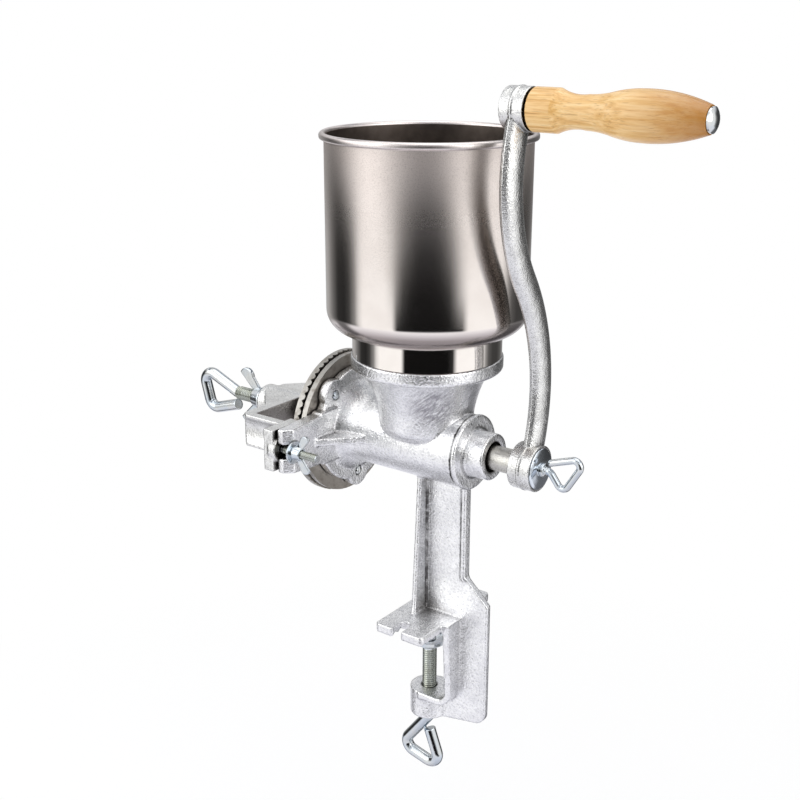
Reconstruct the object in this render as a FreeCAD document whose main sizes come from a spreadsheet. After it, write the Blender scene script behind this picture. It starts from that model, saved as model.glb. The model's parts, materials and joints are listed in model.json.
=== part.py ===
import FreeCAD, Part
import os
import re
import math
import Sketcher

# Hand crank grain and nut mill that clamps on a table edge: a cast body with a throat for a tall
# steel hopper, a worm on the crank shaft, two toothed burrs and a yoke with the adjusting screw.
# Origin: on the hopper's axis, at the underside of the clamp's upper jaw, where the table top
# comes. +X points at the crank, -X at the burrs, +Z up. The casting is symmetric about Y = 0.

Vector = FreeCAD.Vector
doc = FreeCAD.newDocument("mill")

# ---------------------------------------------------------------- driving dimensions, mm and degrees
SIZES = {
    # places of the two axes, and clearances
    "axis_height": 127.0,        # crank shaft axis above the jaw's underside
    "running_fit": 0.05,         # radial play of a shaft in its bearing
    "loose_fit": 0.3,            # gap between loose pieces of different bodies
    # barrel, flange and rear bearing
    "barrel_radius": 24.2,
    "barrel_wall": 4.0,
    "barrel_rear": 35.6,         # throat axis to the rear ring
    "bore_rear": 33.5,           # throat axis to the back of the worm chamber
    "ring_radius": 25.0,
    "ring_width": 3.2,
    "ring_round": 1.2,
    "ring_groove": 0.9,
    "boss_radius": 15.3,
    "boss_root_round": 2.6,
    "boss_end": 53.2,
    "boss_edge": 0.8,
    "boss_recess_radius": 9.8,
    "boss_recess_depth": 3.0,
    "bell_radius": 32.0,         # where the barrel flares into the burr flange
    "bell_end": 41.0,
    "flange_reach": 64.5,        # throat axis to the burr seat
    "flange_thick": 7.0,
    "flange_radius": 40.0,
    "lug_circle": 35.0,
    "lug_radius": 10.5,
    "lug_angle": 42.0,           # upper lugs, each side of the vertical
    # ears for the yoke bolts
    "bolt_offset": 70.0,
    "ear_reach": 74.5,
    "ear_thick": 9.5,
    "ear_taper": 5.0,
    "ear_half_height": 14.6,
    "ear_root_half_height": 18.2,
    "ear_root": 20.0,            # shaft axis to where the ear starts to get lower
    "slot_half_width": 5.0,
    "gusset_reach": 49.0,
    "gusset_length": 23.0,
    "gusset_thick": 5.0,
    # throat, collar and spigot
    "throat_radius": 31.6,
    "throat_waist": 24.0,        # height of the waist over the shaft axis
    "throat_foot": 6.0,          # height where the throat's rounded foot leaves the barrel
    "throat_foot_radius": 22.0,
    "throat_belly": 14.5,
    "throat_belly_radius": 30.4,
    "throat_foot_round": 9.0,
    "collar_radius": 49.4,
    "collar_top": 60.3,
    "collar_height": 9.6,
    "collar_neck_radius": 40.0,
    "collar_neck_round": 2.2,
    "flare_radius": 80.0,
    "collar_round": 2.8,
    "collar_edge": 0.7,
    "spigot_radius": 47.0,
    "spigot_height": 11.0,
    "throat_wall": 4.0,
    "feed_radius": 19.0,
    # leg, jaw and clamp frame
    "leg_left": 0.3,
    "leg_right": 34.2,
    "web_thick": 5.0,
    "flange_leg_thick": 3.2,
    "leg_flange_top": 10.5,
    "leg_flange_foot": 17.0,
    "bead_width": 3.2,
    "bead_thick": 7.4,
    "shoulder_drop": 89.6,       # shaft axis down to where the web widens
    "shoulder_rise": 17.0,
    "frame_right": 52.3,
    "frame_foot": 202.4,         # shaft axis down to the foot of the clamp frame
    "frame_corner": 9.0,
    "frame_slope": 4.8,
    "jaw_thick": 6.0,
    "jaw_left": 11.6,
    "jaw_half_width": 41.5,
    "jaw_corner": 3.0,
    "notch_left": 2.6,
    "notch_width": 7.2,
    "notch_depth": 11.5,
    "jaw_tooth_pitch": 6.0,      # grip teeth across the jaw's underside
    "jaw_tooth_depth": 1.8,
    "jaw_land": 10.0,            # half width of the plain strip between the two sets of teeth
    "spine_inner": 26.8,         # throat axis to the inner face of the clamp frame's strip
    "spine_thick": 4.8,
    "spine_half_width": 17.5,
    "spine_foot_half_width": 14.2,
    "spine_round": 8.0,
    "clamp_offset": 4.6,         # clamp screw axis from the throat axis
    "clamp_boss_radius": 13.4,
    "clamp_boss_height": 20.4,
    "clamp_boss_edge": 1.0,
    # worm and shaft
    "shaft_radius": 8.0,
    "worm_core_radius": 9.5,
    "worm_flight_radius": 19.7,
    "worm_flight_root": 6.0,
    "worm_flight_tip": 3.2,
    "worm_pitch": 27.0,
    "worm_rear": 30.3,
    "worm_front": 60.0,
    "tang_half": 5.5,
    "shaft_flat": 6.6,           # shaft axis to each flat in the crank hub
    # burrs, carrier and pins
    "burr_radius": 48.5,
    "burr_thick": 3.8,
    "burr_gap": 0.9,
    "rotor_thick": 4.5,
    "rotor_radius": 49.6,
    "rim_land": 1.5,             # plain rim outside the fixed burr's teeth
    "fine_inner": 31.0,
    "coarse_inner": 22.0,
    "fine_count": 60,
    "coarse_count": 12,
    "fine_depth": 1.8,
    "fine_fill": 0.8,            # groove width as a share of the tooth pitch
    "coarse_depth": 2.2,
    "coarse_width": 5.0,
    "rivet_radius": 3.0,
    "carrier_radius": 36.0,
    "carrier_thick": 5.0,
    "carrier_hub_radius": 13.5,
    "carrier_hub_length": 15.0,
    "hub_spigot_radius": 14.0,
    "rotor_bore_gap": 0.1,
    "pin_radius": 2.4,
    "ball_radius": 4.5,
    # yoke and its bolts
    "yoke_inner": 50.5,
    "yoke_wall": 6.8,
    "yoke_back": 105.0,          # throat axis to the inside of the yoke's back
    "yoke_back_thick": 8.0,
    "yoke_half_height": 11.2,
    "yoke_hollow": 2.6,          # depth of the hollow along the yoke's sides
    "yoke_edge": 2.0,            # plain edge above and below that hollow
    "yoke_ear_gap": 1.5,
    "yoke_ear_thick": 8.0,
    "yoke_ear_reach": 77.5,
    "yoke_ear_half_height": 14.0,
    "yoke_seat_radius": 8.5,
    "yoke_boss_radius": 12.0,
    "yoke_boss_end": 143.0,
    "yoke_cone_spread": 33.0,
    "bolt_radius": 2.5,
    "bolt_head_radius": 5.4,
    "bolt_head_thick": 3.6,
    "bolt_free": 20.5,           # bolt end past the ear's outer face
    "washer_radius": 7.5,
    "washer_thick": 1.2,
    "wing_hub_radius": 4.9,
    "wing_hub_length": 6.0,
    "wing_span": 13.0,
    "wing_width": 7.5,
    "wing_lean": 5.0,
    "wing_thick": 2.0,
    # adjusting screw and its lock nut
    "screw_radius": 4.7,
    "screw_wire_radius": 4.2,
    "adjust_shank_end": 167.0,
    "adjust_eye_length": 41.0,
    "adjust_eye_rise": 13.0,
    "adjust_eye_drop": 13.5,
    "lock_washer_radius": 9.8,
    "lock_washer_thick": 2.0,
    "lock_hub_radius": 8.2,
    "lock_hub_length": 8.5,
    "lock_span": 21.0,
    "lock_width": 12.0,
    "lock_lean": 10.0,
    "lock_wing_thick": 3.0,
    # crank
    "crank_radius": 221.0,
    "crank_lean": 6.1,           # resting turn of the crank toward -Y
    "crank_plane": 79.2,
    "crank_hub_radius": 14.8,
    "crank_hub_length": 15.0,
    "crank_eye_radius": 12.4,
    "crank_eye_length": 15.0,
    "arm_half_width": 9.6,
    "arm_half_thick": 5.2,
    "arm_inflection": 0.54,      # share of the crank radius where the S turns over
    "arm_bow": 14.5,             # angle between chord and tangent at the S's ends
    "parting_half_thick": 0.7,   # ridge that the mould's parting line leaves round the crank
    "parting_rise": 0.5,
    "crank_washer_radius": 13.3,
    "crank_washer_thick": 1.8,
    "thumb_wire_radius": 2.3,
    "thumb_thread_radius": 3.0,
    "thumb_depth": 12.0,
    "thumb_eye_length": 29.0,
    "thumb_eye_rise": 12.0,
    "thumb_eye_drop": 10.0,
    # handle
    "grip_gap": 1.5,
    "grip_length": 102.0,
    "grip_collar_radius": 12.3,
    "grip_collar_length": 15.0,
    "grip_neck_radius": 9.6,
    "grip_neck_place": 33.0,
    "grip_belly_radius": 13.9,
    "grip_belly_place": 65.0,
    "grip_end_radius": 7.6,
    "spindle_radius": 3.5,
    "spindle_head_radius": 6.9,
    "spindle_head_height": 3.4,
    # clamp screw and pad
    "pad_radius": 12.3,
    "pad_thick": 3.4,
    "pad_lip": 1.6,
    "pad_drop": 17.2,            # jaw face down to the pad at rest
    "pad_hub_radius": 7.0,
    "pad_hub_height": 3.0,
    "tip_radius": 3.2,
    "clamp_eye_depth": 43.0,
    "clamp_eye_left": 24.0,
    "clamp_eye_right": 11.6,
    "clamp_eye_drop": 35.0,
    "clamp_hook_side": 0.6,
    "clamp_hook_drop": 13.5,
    "eye_bend": 8.0,
    # hopper
    "hopper_radius": 64.5,
    "hopper_top": 200.9,
    "sheet_thick": 0.8,
    "rim_bead_radius": 2.2,
    "rim_overhang": 0.8,
    "hopper_neck_radius": 48.3,
    "bowl_foot": 76.5,
    "bowl_radius": 16.2,
    # small allowances that several pieces share
    "cut_over": 1.0,             # how far a cut runs past the face that it opens
    "sink": 1.0,                 # how far a form is sunk into the one that it joins
    "arc_share": 0.55,           # radius of a slot's round end as a share of its width
    "slot_share": 0.64,          # how far the ear's slot runs in past the bolt, in half widths
    "jaw_tooth_share": 0.9,
    "rivet_dome": 1.25,
    "hub_chamfer": 2.0,
    "pin_sink": 0.5,
    "cone_end": 8.0,             # yoke boss's end back to where its side ribs reach it
    "cone_set": 2.0,
    "yoke_boss_edge": 1.5,
    "wing_hub_taper": 0.82,
    "wing_root": 0.12,
    "wing_round": 0.52,
    "bolt_head_dome": 0.7,
    "screw_edge": 1.0,
    "adjust_eye_share": 0.78,
    "adjust_eye_gap": 2.2,
    "thumb_shoulder": 1.4,
    "thumb_shoulder_thick": 2.0,
    "thumb_eye_turn": 1.6,
    "thumb_eye_share": 0.52,
    "thumb_eye_gap": 2.4,
    "spindle_collar": 1.2,
    "grip_round": 0.6,
    "grip_swell": 3.0,
}

# Places that several pieces share, worked out from the sizes.
PLACES = {
    "bore_radius": "barrel_radius - barrel_wall",
    "flange_back": "flange_reach - flange_thick",
    "ear_face": "flange_reach - ear_thick",
    "shaft_bore": "shaft_radius + running_fit",
    "screw_bore": "screw_radius + loose_fit",
    "burr_front": "flange_reach + burr_thick",
    "rotor_face": "burr_front + burr_gap",
    "rotor_back": "rotor_face + rotor_thick",
    "carrier_back": "rotor_back + carrier_thick",
    "hub_back": "carrier_back + carrier_hub_length",
    "ball_place": "hub_back + loose_fit",
    "tang_end": "hub_back - ball_radius - 3",
    "pin_place": "carrier_back + pin_radius + 1.2",
    "yoke_ear_front": "flange_reach + yoke_ear_gap",
    "yoke_ear_back": "yoke_ear_front + yoke_ear_thick",
    "yoke_outer": "yoke_inner + yoke_wall",
    "hub_rear": "crank_plane - crank_hub_length / 2",
    "hub_face": "crank_plane + crank_hub_length / 2",
    "eye_face": "crank_plane + crank_eye_length / 2",
    "bowl_top": "bowl_foot + bowl_radius",
    "boss_top": "frame_foot - clamp_boss_height",
    "ring_face": "barrel_rear + ring_width",
    "collar_foot": "collar_top - collar_height",
    "spine_outer": "spine_inner + spine_thick",
    "spine_middle": "spine_inner + spine_thick / 2",
    "ear_shoulder": "ear_root_half_height - (ear_root_half_height - ear_half_height)"
                    " * (flange_radius + 1 - ear_root) / (ear_reach + 1 - ear_root)",
}

sheet = doc.addObject("Spreadsheet::Sheet", "sizes")
probe = doc.addObject("Spreadsheet::Sheet", "probe")
for row, (name, value) in enumerate(SIZES.items(), start=1):
    sheet.set("A%d" % row, name)
    sheet.set("B%d" % row, str(value))
    sheet.setAlias("B%d" % row, name)
doc.recompute()


def bind(expression):
    """Write an expression of size and place names in the document's own words."""
    def spell(match):
        word = match.group(0)
        if word in SIZES:
            return "sizes." + word
        if word in PLACES:
            return "(" + bind(PLACES[word]) + ")"
        return word
    return re.sub(r"[A-Za-z_]\w*", spell, expression)


def measure(expression):
    """The value that an expression has now, for a sketch's first geometry."""
    probe.set("A1", "=" + bind(expression))
    probe.recompute()
    return float(probe.get("A1"))


# ---------------------------------------------------------------- helpers
pieces = []             # the sub-parts in the order they are made
XY, XZ, YZ = "XY_Plane", "XZ_Plane", "YZ_Plane"
NEAR, FAR = "-", "+"


def new_body(label, x="0", y="0", z="axis_height"):
    """A sub-part whose own origin stands at x, y, z; most stand where shaft and throat axes cross."""
    body = doc.addObject("PartDesign::Body", label)
    body.Label = label
    for axis, expression in (("x", x), ("y", y), ("z", z)):
        body.setExpression("Placement.Base." + axis, bind(expression))
    pieces.append(body)
    return body


def origin_feature(body, role):
    return [feature for feature in body.Origin.OriginFeatures if feature.Role == role][0]


def new_sketch(body, name, role, offset=None):
    """A sketch on one of the body's own planes, moved along the plane's normal by offset."""
    sketch = body.newObject("Sketcher::SketchObject", body.Name + "_" + name)
    sketch.AttachmentSupport = (origin_feature(body, role), [""])
    sketch.MapMode = "FlatFace"
    if offset:
        sketch.setExpression("AttachmentOffset.Base.z", bind(offset))
    return sketch


def pin_point(sketch, geometry, vertex, x, y):
    """Hold one point of a sketch at x, y with two bound distances from the origin."""
    for kind, expression in (("DistanceX", x), ("DistanceY", y)):
        constraint = Sketcher.Constraint(kind, -1, 1, geometry, vertex, measure(expression))
        index = sketch.addConstraint(constraint)
        sketch.setExpression("Constraints[%d]" % index, bind(expression))


def set_radius(sketch, geometry, radius):
    index = sketch.addConstraint(Sketcher.Constraint("Radius", geometry, measure(radius)))
    sketch.setExpression("Constraints[%d]" % index, bind(radius))


def arc_between(start, end, radius, side):
    """An arc from start to end; its centre is on the given side of the way from start to end."""
    middle = (start + end) * 0.5
    way = end - start
    depth = math.sqrt(max(radius ** 2 - (way.Length / 2) ** 2, 0.0))
    to_left = Vector(-way.y, way.x, 0).normalize()
    sign = 1 if side == "left" else -1
    centre = middle + to_left * depth * sign
    crown = centre - to_left * radius * sign
    return Part.Arc(start, crown, end)


def outline(sketch, points):
    """A closed outline. Each point is (x, y), or (x, y, radius, side) where an arc leads to the next."""
    corners = [Vector(measure(point[0]), measure(point[1]), 0) for point in points]
    edges = []
    for index, point in enumerate(points):
        start = corners[index]
        end = corners[(index + 1) % len(points)]
        if len(point) > 2:
            shape = arc_between(start, end, measure(point[2]), point[3])
        else:
            shape = Part.LineSegment(start, end)
        edges.append(sketch.addGeometry(shape, False))

    def ends(index):
        first = (sketch.getPoint(edges[index], 1) - corners[index]).Length < 1e-6
        return (1, 2) if first else (2, 1)

    for index, point in enumerate(points):
        following = (index + 1) % len(points)
        sketch.addConstraint(Sketcher.Constraint(
            "Coincident", edges[index], ends(index)[1], edges[following], ends(following)[0]))
    for index, point in enumerate(points):
        pin_point(sketch, edges[index], ends(index)[0], point[0], point[1])
        if len(point) > 2:
            set_radius(sketch, edges[index], point[2])


def circle(sketch, x, y, radius):
    shape = Part.Circle(Vector(measure(x), measure(y), 0), Vector(0, 0, 1), measure(radius))
    geometry = sketch.addGeometry(shape, False)
    pin_point(sketch, geometry, 3, x, y)
    set_radius(sketch, geometry, radius)


def box(sketch, left, right, low, high):
    outline(sketch, [(left, low), (right, low), (right, high), (left, high)])


def ellipse(sketch, x, y, half_x, half_y):
    """An ellipse held by its centre and by the ends of its two half axes."""
    centre = Vector(measure(x), measure(y), 0)
    tall = measure(half_y) > measure(half_x)
    major = Vector(0, measure(half_y), 0) if tall else Vector(measure(half_x), 0, 0)
    minor = Vector(measure(half_x), 0, 0) if tall else Vector(0, measure(half_y), 0)
    geometry = sketch.addGeometry(Part.Ellipse(centre + major, centre + minor, centre), False)
    sketch.exposeInternalGeometry(geometry)
    pin_point(sketch, geometry, 3, x, y)
    for line in (geometry + 1, geometry + 2):
        start, end = sketch.getPoint(line, 1), sketch.getPoint(line, 2)
        upright = abs(end.y - start.y) > abs(end.x - start.x)
        if line == geometry + 1:
            sketch.addConstraint(Sketcher.Constraint("Vertical" if upright else "Horizontal", line))
        length = "2 * (%s)" % (half_y if upright else half_x)
        index = sketch.addConstraint(Sketcher.Constraint("Distance", line, measure(length)))
        sketch.setExpression("Constraints[%d]" % index, bind(length))


def extrude(body, name, sketch, length, cut=False):
    """Pad a sketch along its normal, or cut the same space out."""
    kind = "PartDesign::Pocket" if cut else "PartDesign::Pad"
    feature = body.newObject(kind, body.Name + "_" + name)
    feature.Profile = sketch
    feature.setExpression("Length", bind(length))
    if cut:
        feature.Reversed = True
    return feature


def revolve(body, name, sketch, axis, cut=False):
    """Turn a sketch once about its own H_Axis or V_Axis, as solid or as a cut."""
    kind = "PartDesign::Groove" if cut else "PartDesign::Revolution"
    feature = body.newObject(kind, body.Name + "_" + name)
    feature.Profile = sketch
    feature.ReferenceAxis = (sketch, [axis])
    feature.Angle = 360
    return feature


def mirror(body, name, originals, role):
    feature = body.newObject("PartDesign::Mirrored", body.Name + "_" + name)
    feature.Originals = originals
    feature.MirrorPlane = (origin_feature(body, role), [""])
    body.Tip = feature
    return feature


def polar(body, name, originals, role, count):
    feature = body.newObject("PartDesign::PolarPattern", body.Name + "_" + name)
    feature.Originals = originals
    feature.Axis = (origin_feature(body, role), [""])
    feature.Angle = 360
    feature.setExpression("Occurrences", bind(count))
    body.Tip = feature
    return feature


def bent_path(sketch, points, radius):
    """An open path of straight runs through points, with a tangent arc of one radius at each corner."""
    corners = [Vector(measure(x), measure(y), 0) for x, y in points]
    bend = measure(radius)
    guides = []
    for start, end in zip(corners, corners[1:]):
        guides.append(sketch.addGeometry(Part.LineSegment(start, end), True))
    for index, (x, y) in enumerate(points):
        if index < len(guides):
            pin_point(sketch, guides[index], 1, x, y)
        else:
            pin_point(sketch, guides[-1], 2, x, y)
    for first, second in zip(guides, guides[1:]):
        sketch.addConstraint(Sketcher.Constraint("Coincident", first, 2, second, 1))
    cut = []                     # how far each corner's arc eats into its runs
    for before, corner, after in zip(corners, corners[1:], corners[2:]):
        turn = (corner - before).getAngle(after - corner)
        cut.append(bend * math.tan(turn / 2))
    runs = []
    for index, (start, end) in enumerate(zip(corners, corners[1:])):
        way = (end - start).normalize()
        run_start = start + way * (cut[index - 1] if index > 0 else 0)
        run_end = end - way * (cut[index] if index < len(cut) else 0)
        runs.append(sketch.addGeometry(Part.LineSegment(run_start, run_end), False))
    for index, run in enumerate(runs):
        for vertex in (1, 2):
            outer = (index == 0 and vertex == 1) or (index == len(runs) - 1 and vertex == 2)
            kind = "Coincident" if outer else "PointOnObject"
            if outer:
                sketch.addConstraint(Sketcher.Constraint(kind, run, vertex, guides[index], vertex))
            else:
                sketch.addConstraint(Sketcher.Constraint(kind, run, vertex, guides[index]))
    for index, (first, second) in enumerate(zip(runs, runs[1:])):
        start, end = sketch.getPoint(first, 2), sketch.getPoint(second, 1)
        turn_left = (corners[index + 1] - corners[index]).cross(
            corners[index + 2] - corners[index + 1]).z > 0
        arc = sketch.addGeometry(arc_between(start, end, bend, "left" if turn_left else "right"), False)
        near = 1 if (sketch.getPoint(arc, 1) - start).Length < 1e-6 else 2
        sketch.addConstraint(Sketcher.Constraint("Tangent", first, 2, arc, near))
        sketch.addConstraint(Sketcher.Constraint("Tangent", arc, 3 - near, second, 1))
        set_radius(sketch, arc, radius)


def sweep(body, name, profile, path):
    feature = body.newObject("PartDesign::AdditivePipe", body.Name + "_" + name)
    feature.Profile = profile
    feature.Spine = path
    return feature


# ---------------------------------------------------------------- body casting
# One iron casting, tinned: worm barrel with burr flange and rear bearing, throat with the hopper's
# collar, two forked ears for the yoke, the leg, the clamp's upper jaw and its C-shaped frame.
casting = new_body("body_casting")

bell_round = "((flange_back - bell_end)^2 + (bell_radius - barrel_radius)^2) / 2 / (bell_radius - barrel_radius)"
barrel = new_sketch(casting, "barrel_outline", XZ)
outline(barrel, [
    ("-flange_reach", "0"),
    ("-flange_reach", "flange_radius"),
    ("-flange_back", "flange_radius"),
    ("-flange_back", "bell_radius", bell_round, "left"),
    ("-bell_end", "barrel_radius"),
    ("barrel_rear - ring_groove", "barrel_radius"),
    ("barrel_rear", "barrel_radius - ring_groove"),
    ("barrel_rear", "ring_radius - ring_round", "ring_round", "right"),
    ("barrel_rear + ring_round", "ring_radius"),
    ("ring_face - ring_round", "ring_radius", "ring_round", "right"),
    ("ring_face", "ring_radius - ring_round"),
    ("ring_face", "boss_radius + boss_root_round", "boss_root_round", "left"),
    ("ring_face + boss_root_round", "boss_radius"),
    ("boss_end - boss_edge", "boss_radius"),
    ("boss_end", "boss_radius - boss_edge"),
    ("boss_end", "0"),
])
revolve(casting, "barrel", barrel, "H_Axis")

throat = new_sketch(casting, "throat_outline", XZ)
outline(throat, [
    ("0", "0"),
    ("throat_foot_radius", "0"),
    ("throat_foot_radius", "throat_foot", "throat_foot_round", "left"),
    ("throat_belly_radius", "throat_belly"),
    ("throat_radius", "throat_waist", "flare_radius", "right"),
    ("collar_neck_radius", "collar_foot - collar_neck_round", "collar_neck_round", "right"),
    ("collar_neck_radius + collar_neck_round", "collar_foot"),
    ("collar_radius - collar_round", "collar_foot", "collar_round", "left"),
    ("collar_radius", "collar_foot + collar_round"),
    ("collar_radius", "collar_top - collar_edge"),
    ("collar_radius - collar_edge", "collar_top"),
    ("spigot_radius", "collar_top"),
    ("spigot_radius", "collar_top + spigot_height"),
    ("0", "collar_top + spigot_height"),
])
revolve(casting, "throat", throat, "V_Axis")

ears = new_sketch(casting, "ears_outline", XY, "-ear_root_half_height")
outline(ears, [
    ("-flange_reach", "-ear_reach"),
    ("-ear_face - ear_taper", "-ear_reach"),
    ("-ear_face", "-ear_reach + ear_taper"),
    ("-ear_face", "ear_reach - ear_taper"),
    ("-ear_face - ear_taper", "ear_reach"),
    ("-flange_reach", "ear_reach"),
])
extrude(casting, "ears", ears, "2 * ear_root_half_height")

gussets = new_sketch(casting, "gussets_outline", XY, "-gusset_thick / 2")
outline(gussets, [
    ("-ear_face - ear_thick / 2", "-gusset_reach"),
    ("-ear_face", "-gusset_reach"),
    ("-ear_face + gusset_length", "-barrel_radius + sink"),
    ("-ear_face + gusset_length", "barrel_radius - sink"),
    ("-ear_face", "gusset_reach"),
    ("-ear_face - ear_thick / 2", "gusset_reach"),
])
extrude(casting, "gussets", gussets, "gusset_thick")

# Three lugs widen the flange where the burr's rivets go through: one below, two above.
RIVETS = {
    "bottom": ("0", "-lug_circle"),
    "near": ("-lug_circle * sin(lug_angle)", "lug_circle * cos(lug_angle)"),
    "far": ("lug_circle * sin(lug_angle)", "lug_circle * cos(lug_angle)"),
}
for place, (across, up) in RIVETS.items():
    lug = new_sketch(casting, "lug_" + place, YZ, "-flange_reach")
    circle(lug, across, up, "lug_radius")
    extrude(casting, "lug_pad_" + place, lug, "flange_thick")

web = new_sketch(casting, "web_outline", XZ, "-web_thick / 2")
outline(web, [
    ("leg_left", "-barrel_radius + barrel_wall / 2"),
    ("leg_left", "-axis_height"),
    ("spine_middle", "-axis_height"),
    ("spine_middle", "-boss_top - spine_thick / 2"),
    ("clamp_offset", "-boss_top - spine_thick / 2"),
    ("clamp_offset", "-frame_foot"),
    ("clamp_offset + clamp_boss_radius", "-frame_foot"),
    ("frame_right - frame_corner", "-frame_foot + frame_slope", "frame_corner", "left"),
    ("frame_right", "-frame_foot + frame_slope + frame_corner"),
    ("frame_right", "-shoulder_drop - shoulder_rise"),
    ("leg_right", "-shoulder_drop"),
    ("leg_right", "-barrel_radius + barrel_wall / 2"),
])
extrude(casting, "web", web, "web_thick")

bead = new_sketch(casting, "bead_outline", XZ, "-bead_thick / 2")
outline(bead, [
    ("leg_right - bead_width", "-barrel_radius + barrel_wall / 2"),
    ("leg_right - bead_width", "-shoulder_drop - bead_width / 2"),
    ("leg_right", "-shoulder_drop - bead_width"),
    ("leg_right", "-shoulder_drop"),
    ("leg_right", "-barrel_radius + barrel_wall / 2"),
])
extrude(casting, "bead", bead, "bead_thick")

leg_flange = new_sketch(casting, "leg_flange_outline", YZ, "leg_left")
outline(leg_flange, [
    ("-leg_flange_foot", "-axis_height + jaw_thick / 2"),
    ("leg_flange_foot", "-axis_height + jaw_thick / 2"),
    ("leg_flange_top", "-barrel_radius + barrel_wall"),
    ("-leg_flange_top", "-barrel_radius + barrel_wall"),
])
extrude(casting, "leg_flange", leg_flange, "flange_leg_thick")

# Upper jaw: a flat plate with a notch in each side, for a screw into the table top.
jaw = new_sketch(casting, "jaw_outline", XY, "-axis_height")
notch_right = "notch_left + notch_width"
notch_end = "jaw_half_width - notch_depth"
notch_round = "notch_width * arc_share"
outline(jaw, [
    ("-jaw_left + jaw_corner", "-jaw_half_width"),
    ("notch_left", "-jaw_half_width"),
    ("notch_left", "-(%s)" % notch_end, notch_round, "right"),
    (notch_right, "-(%s)" % notch_end),
    (notch_right, "-jaw_half_width"),
    ("spine_inner - jaw_corner", "-jaw_half_width", "jaw_corner", "left"),
    ("spine_inner", "-jaw_half_width + jaw_corner"),
    ("spine_inner", "-spine_half_width"),
    ("spine_outer", "-spine_half_width"),
    ("spine_outer", "spine_half_width"),
    ("spine_inner", "spine_half_width"),
    ("spine_inner", "jaw_half_width - jaw_corner", "jaw_corner", "left"),
    ("spine_inner - jaw_corner", "jaw_half_width"),
    (notch_right, "jaw_half_width"),
    (notch_right, notch_end, notch_round, "right"),
    ("notch_left", notch_end),
    ("notch_left", "jaw_half_width"),
    ("-jaw_left + jaw_corner", "jaw_half_width", "jaw_corner", "left"),
    ("-jaw_left", "jaw_half_width - jaw_corner"),
    ("-jaw_left", "-jaw_half_width + jaw_corner", "jaw_corner", "left"),
])
extrude(casting, "jaw", jaw, "jaw_thick")

# Clamp frame: a strip that comes down from the jaw's edge and turns in under it to the screw's boss,
# wider towards the jaw, with the web behind it.
strip = new_sketch(casting, "strip_outline", XZ, "-spine_foot_half_width")
outline(strip, [
    ("clamp_offset", "-boss_top"),
    ("spine_inner - spine_round", "-boss_top", "spine_round", "left"),
    ("spine_inner", "-boss_top + spine_round"),
    ("spine_inner", "-axis_height + jaw_thick / 2"),
    ("spine_outer", "-axis_height + jaw_thick / 2"),
    ("spine_outer", "-boss_top + spine_round", "spine_round + spine_thick", "right"),
    ("spine_inner - spine_round", "-boss_top - spine_thick"),
    ("clamp_offset", "-boss_top - spine_thick"),
])
extrude(casting, "strip", strip, "2 * spine_foot_half_width")
strip_flare = new_sketch(casting, "strip_flare", YZ, "spine_inner")
outline(strip_flare, [
    ("-spine_foot_half_width", "-boss_top + spine_round"),
    ("spine_foot_half_width", "-boss_top + spine_round"),
    ("spine_half_width", "-axis_height + jaw_thick / 2"),
    ("-spine_half_width", "-axis_height + jaw_thick / 2"),
])
extrude(casting, "strip_flare_pad", strip_flare, "spine_thick")

clamp_boss = new_sketch(casting, "clamp_boss_outline", XY, "-frame_foot")
circle(clamp_boss, "clamp_offset", "0", "clamp_boss_radius")
extrude(casting, "clamp_boss", clamp_boss, "clamp_boss_height")

worm_room = new_sketch(casting, "worm_room", XZ)
outline(worm_room, [
    ("-flange_reach - cut_over", "0"),
    ("-flange_reach - cut_over", "bore_radius"),
    ("bore_rear", "bore_radius"),
    ("bore_rear", "shaft_bore"),
    ("boss_end - boss_recess_depth", "shaft_bore"),
    ("boss_end - boss_recess_depth", "boss_recess_radius"),
    ("boss_end + cut_over", "boss_recess_radius"),
    ("boss_end + cut_over", "0"),
])
revolve(casting, "worm_room_cut", worm_room, "H_Axis", cut=True)

feed_room = new_sketch(casting, "feed_room", XZ)
outline(feed_room, [
    ("0", "0"),
    ("feed_radius", "0"),
    ("throat_radius - throat_wall", "throat_waist", "flare_radius + throat_wall", "right"),
    ("spigot_radius - throat_wall", "collar_top"),
    ("spigot_radius - throat_wall", "collar_top + spigot_height + cut_over"),
    ("0", "collar_top + spigot_height + cut_over"),
])
revolve(casting, "feed_room_cut", feed_room, "V_Axis", cut=True)

for side in (NEAR, FAR):
    slot = new_sketch(casting, "slot_" + ("near" if side == NEAR else "far"), YZ, "-flange_reach - cut_over")
    inner = side + "(bolt_offset - bolt_radius - loose_fit + slot_half_width * slot_share)"
    outer = side + "(ear_reach + cut_over)"
    turn = "left" if side == NEAR else "right"
    outline(slot, [
        (outer, "-slot_half_width"),
        (inner, "-slot_half_width", "slot_half_width * 2 * arc_share", turn),
        (inner, "slot_half_width"),
        (outer, "slot_half_width"),
    ])
    extrude(casting, "slot_cut_" + ("near" if side == NEAR else "far"), slot, "ear_thick + 2 * cut_over", cut=True)

rivet_holes = new_sketch(casting, "rivet_holes", YZ, "-flange_reach - cut_over")
for across, up in RIVETS.values():
    circle(rivet_holes, across, up, "rivet_radius + running_fit")
extrude(casting, "rivet_holes_cut", rivet_holes, "flange_thick + 2 * cut_over", cut=True)

# The ears get lower from the barrel outward.
ear_slopes = new_sketch(casting, "ear_slopes", YZ, "-flange_reach - cut_over")
for across in (NEAR, FAR):
    for up in (NEAR, FAR):
        outline(ear_slopes, [
            (across + "(flange_radius + cut_over)", up + "ear_shoulder"),
            (across + "(ear_reach + cut_over)", up + "ear_half_height"),
            (across + "(ear_reach + cut_over)", up + "(ear_root_half_height + cut_over)"),
            (across + "(flange_radius + cut_over)", up + "(ear_root_half_height + cut_over)"),
        ])
extrude(casting, "ear_slopes_cut", ear_slopes, "ear_thick + cut_over", cut=True)

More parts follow.
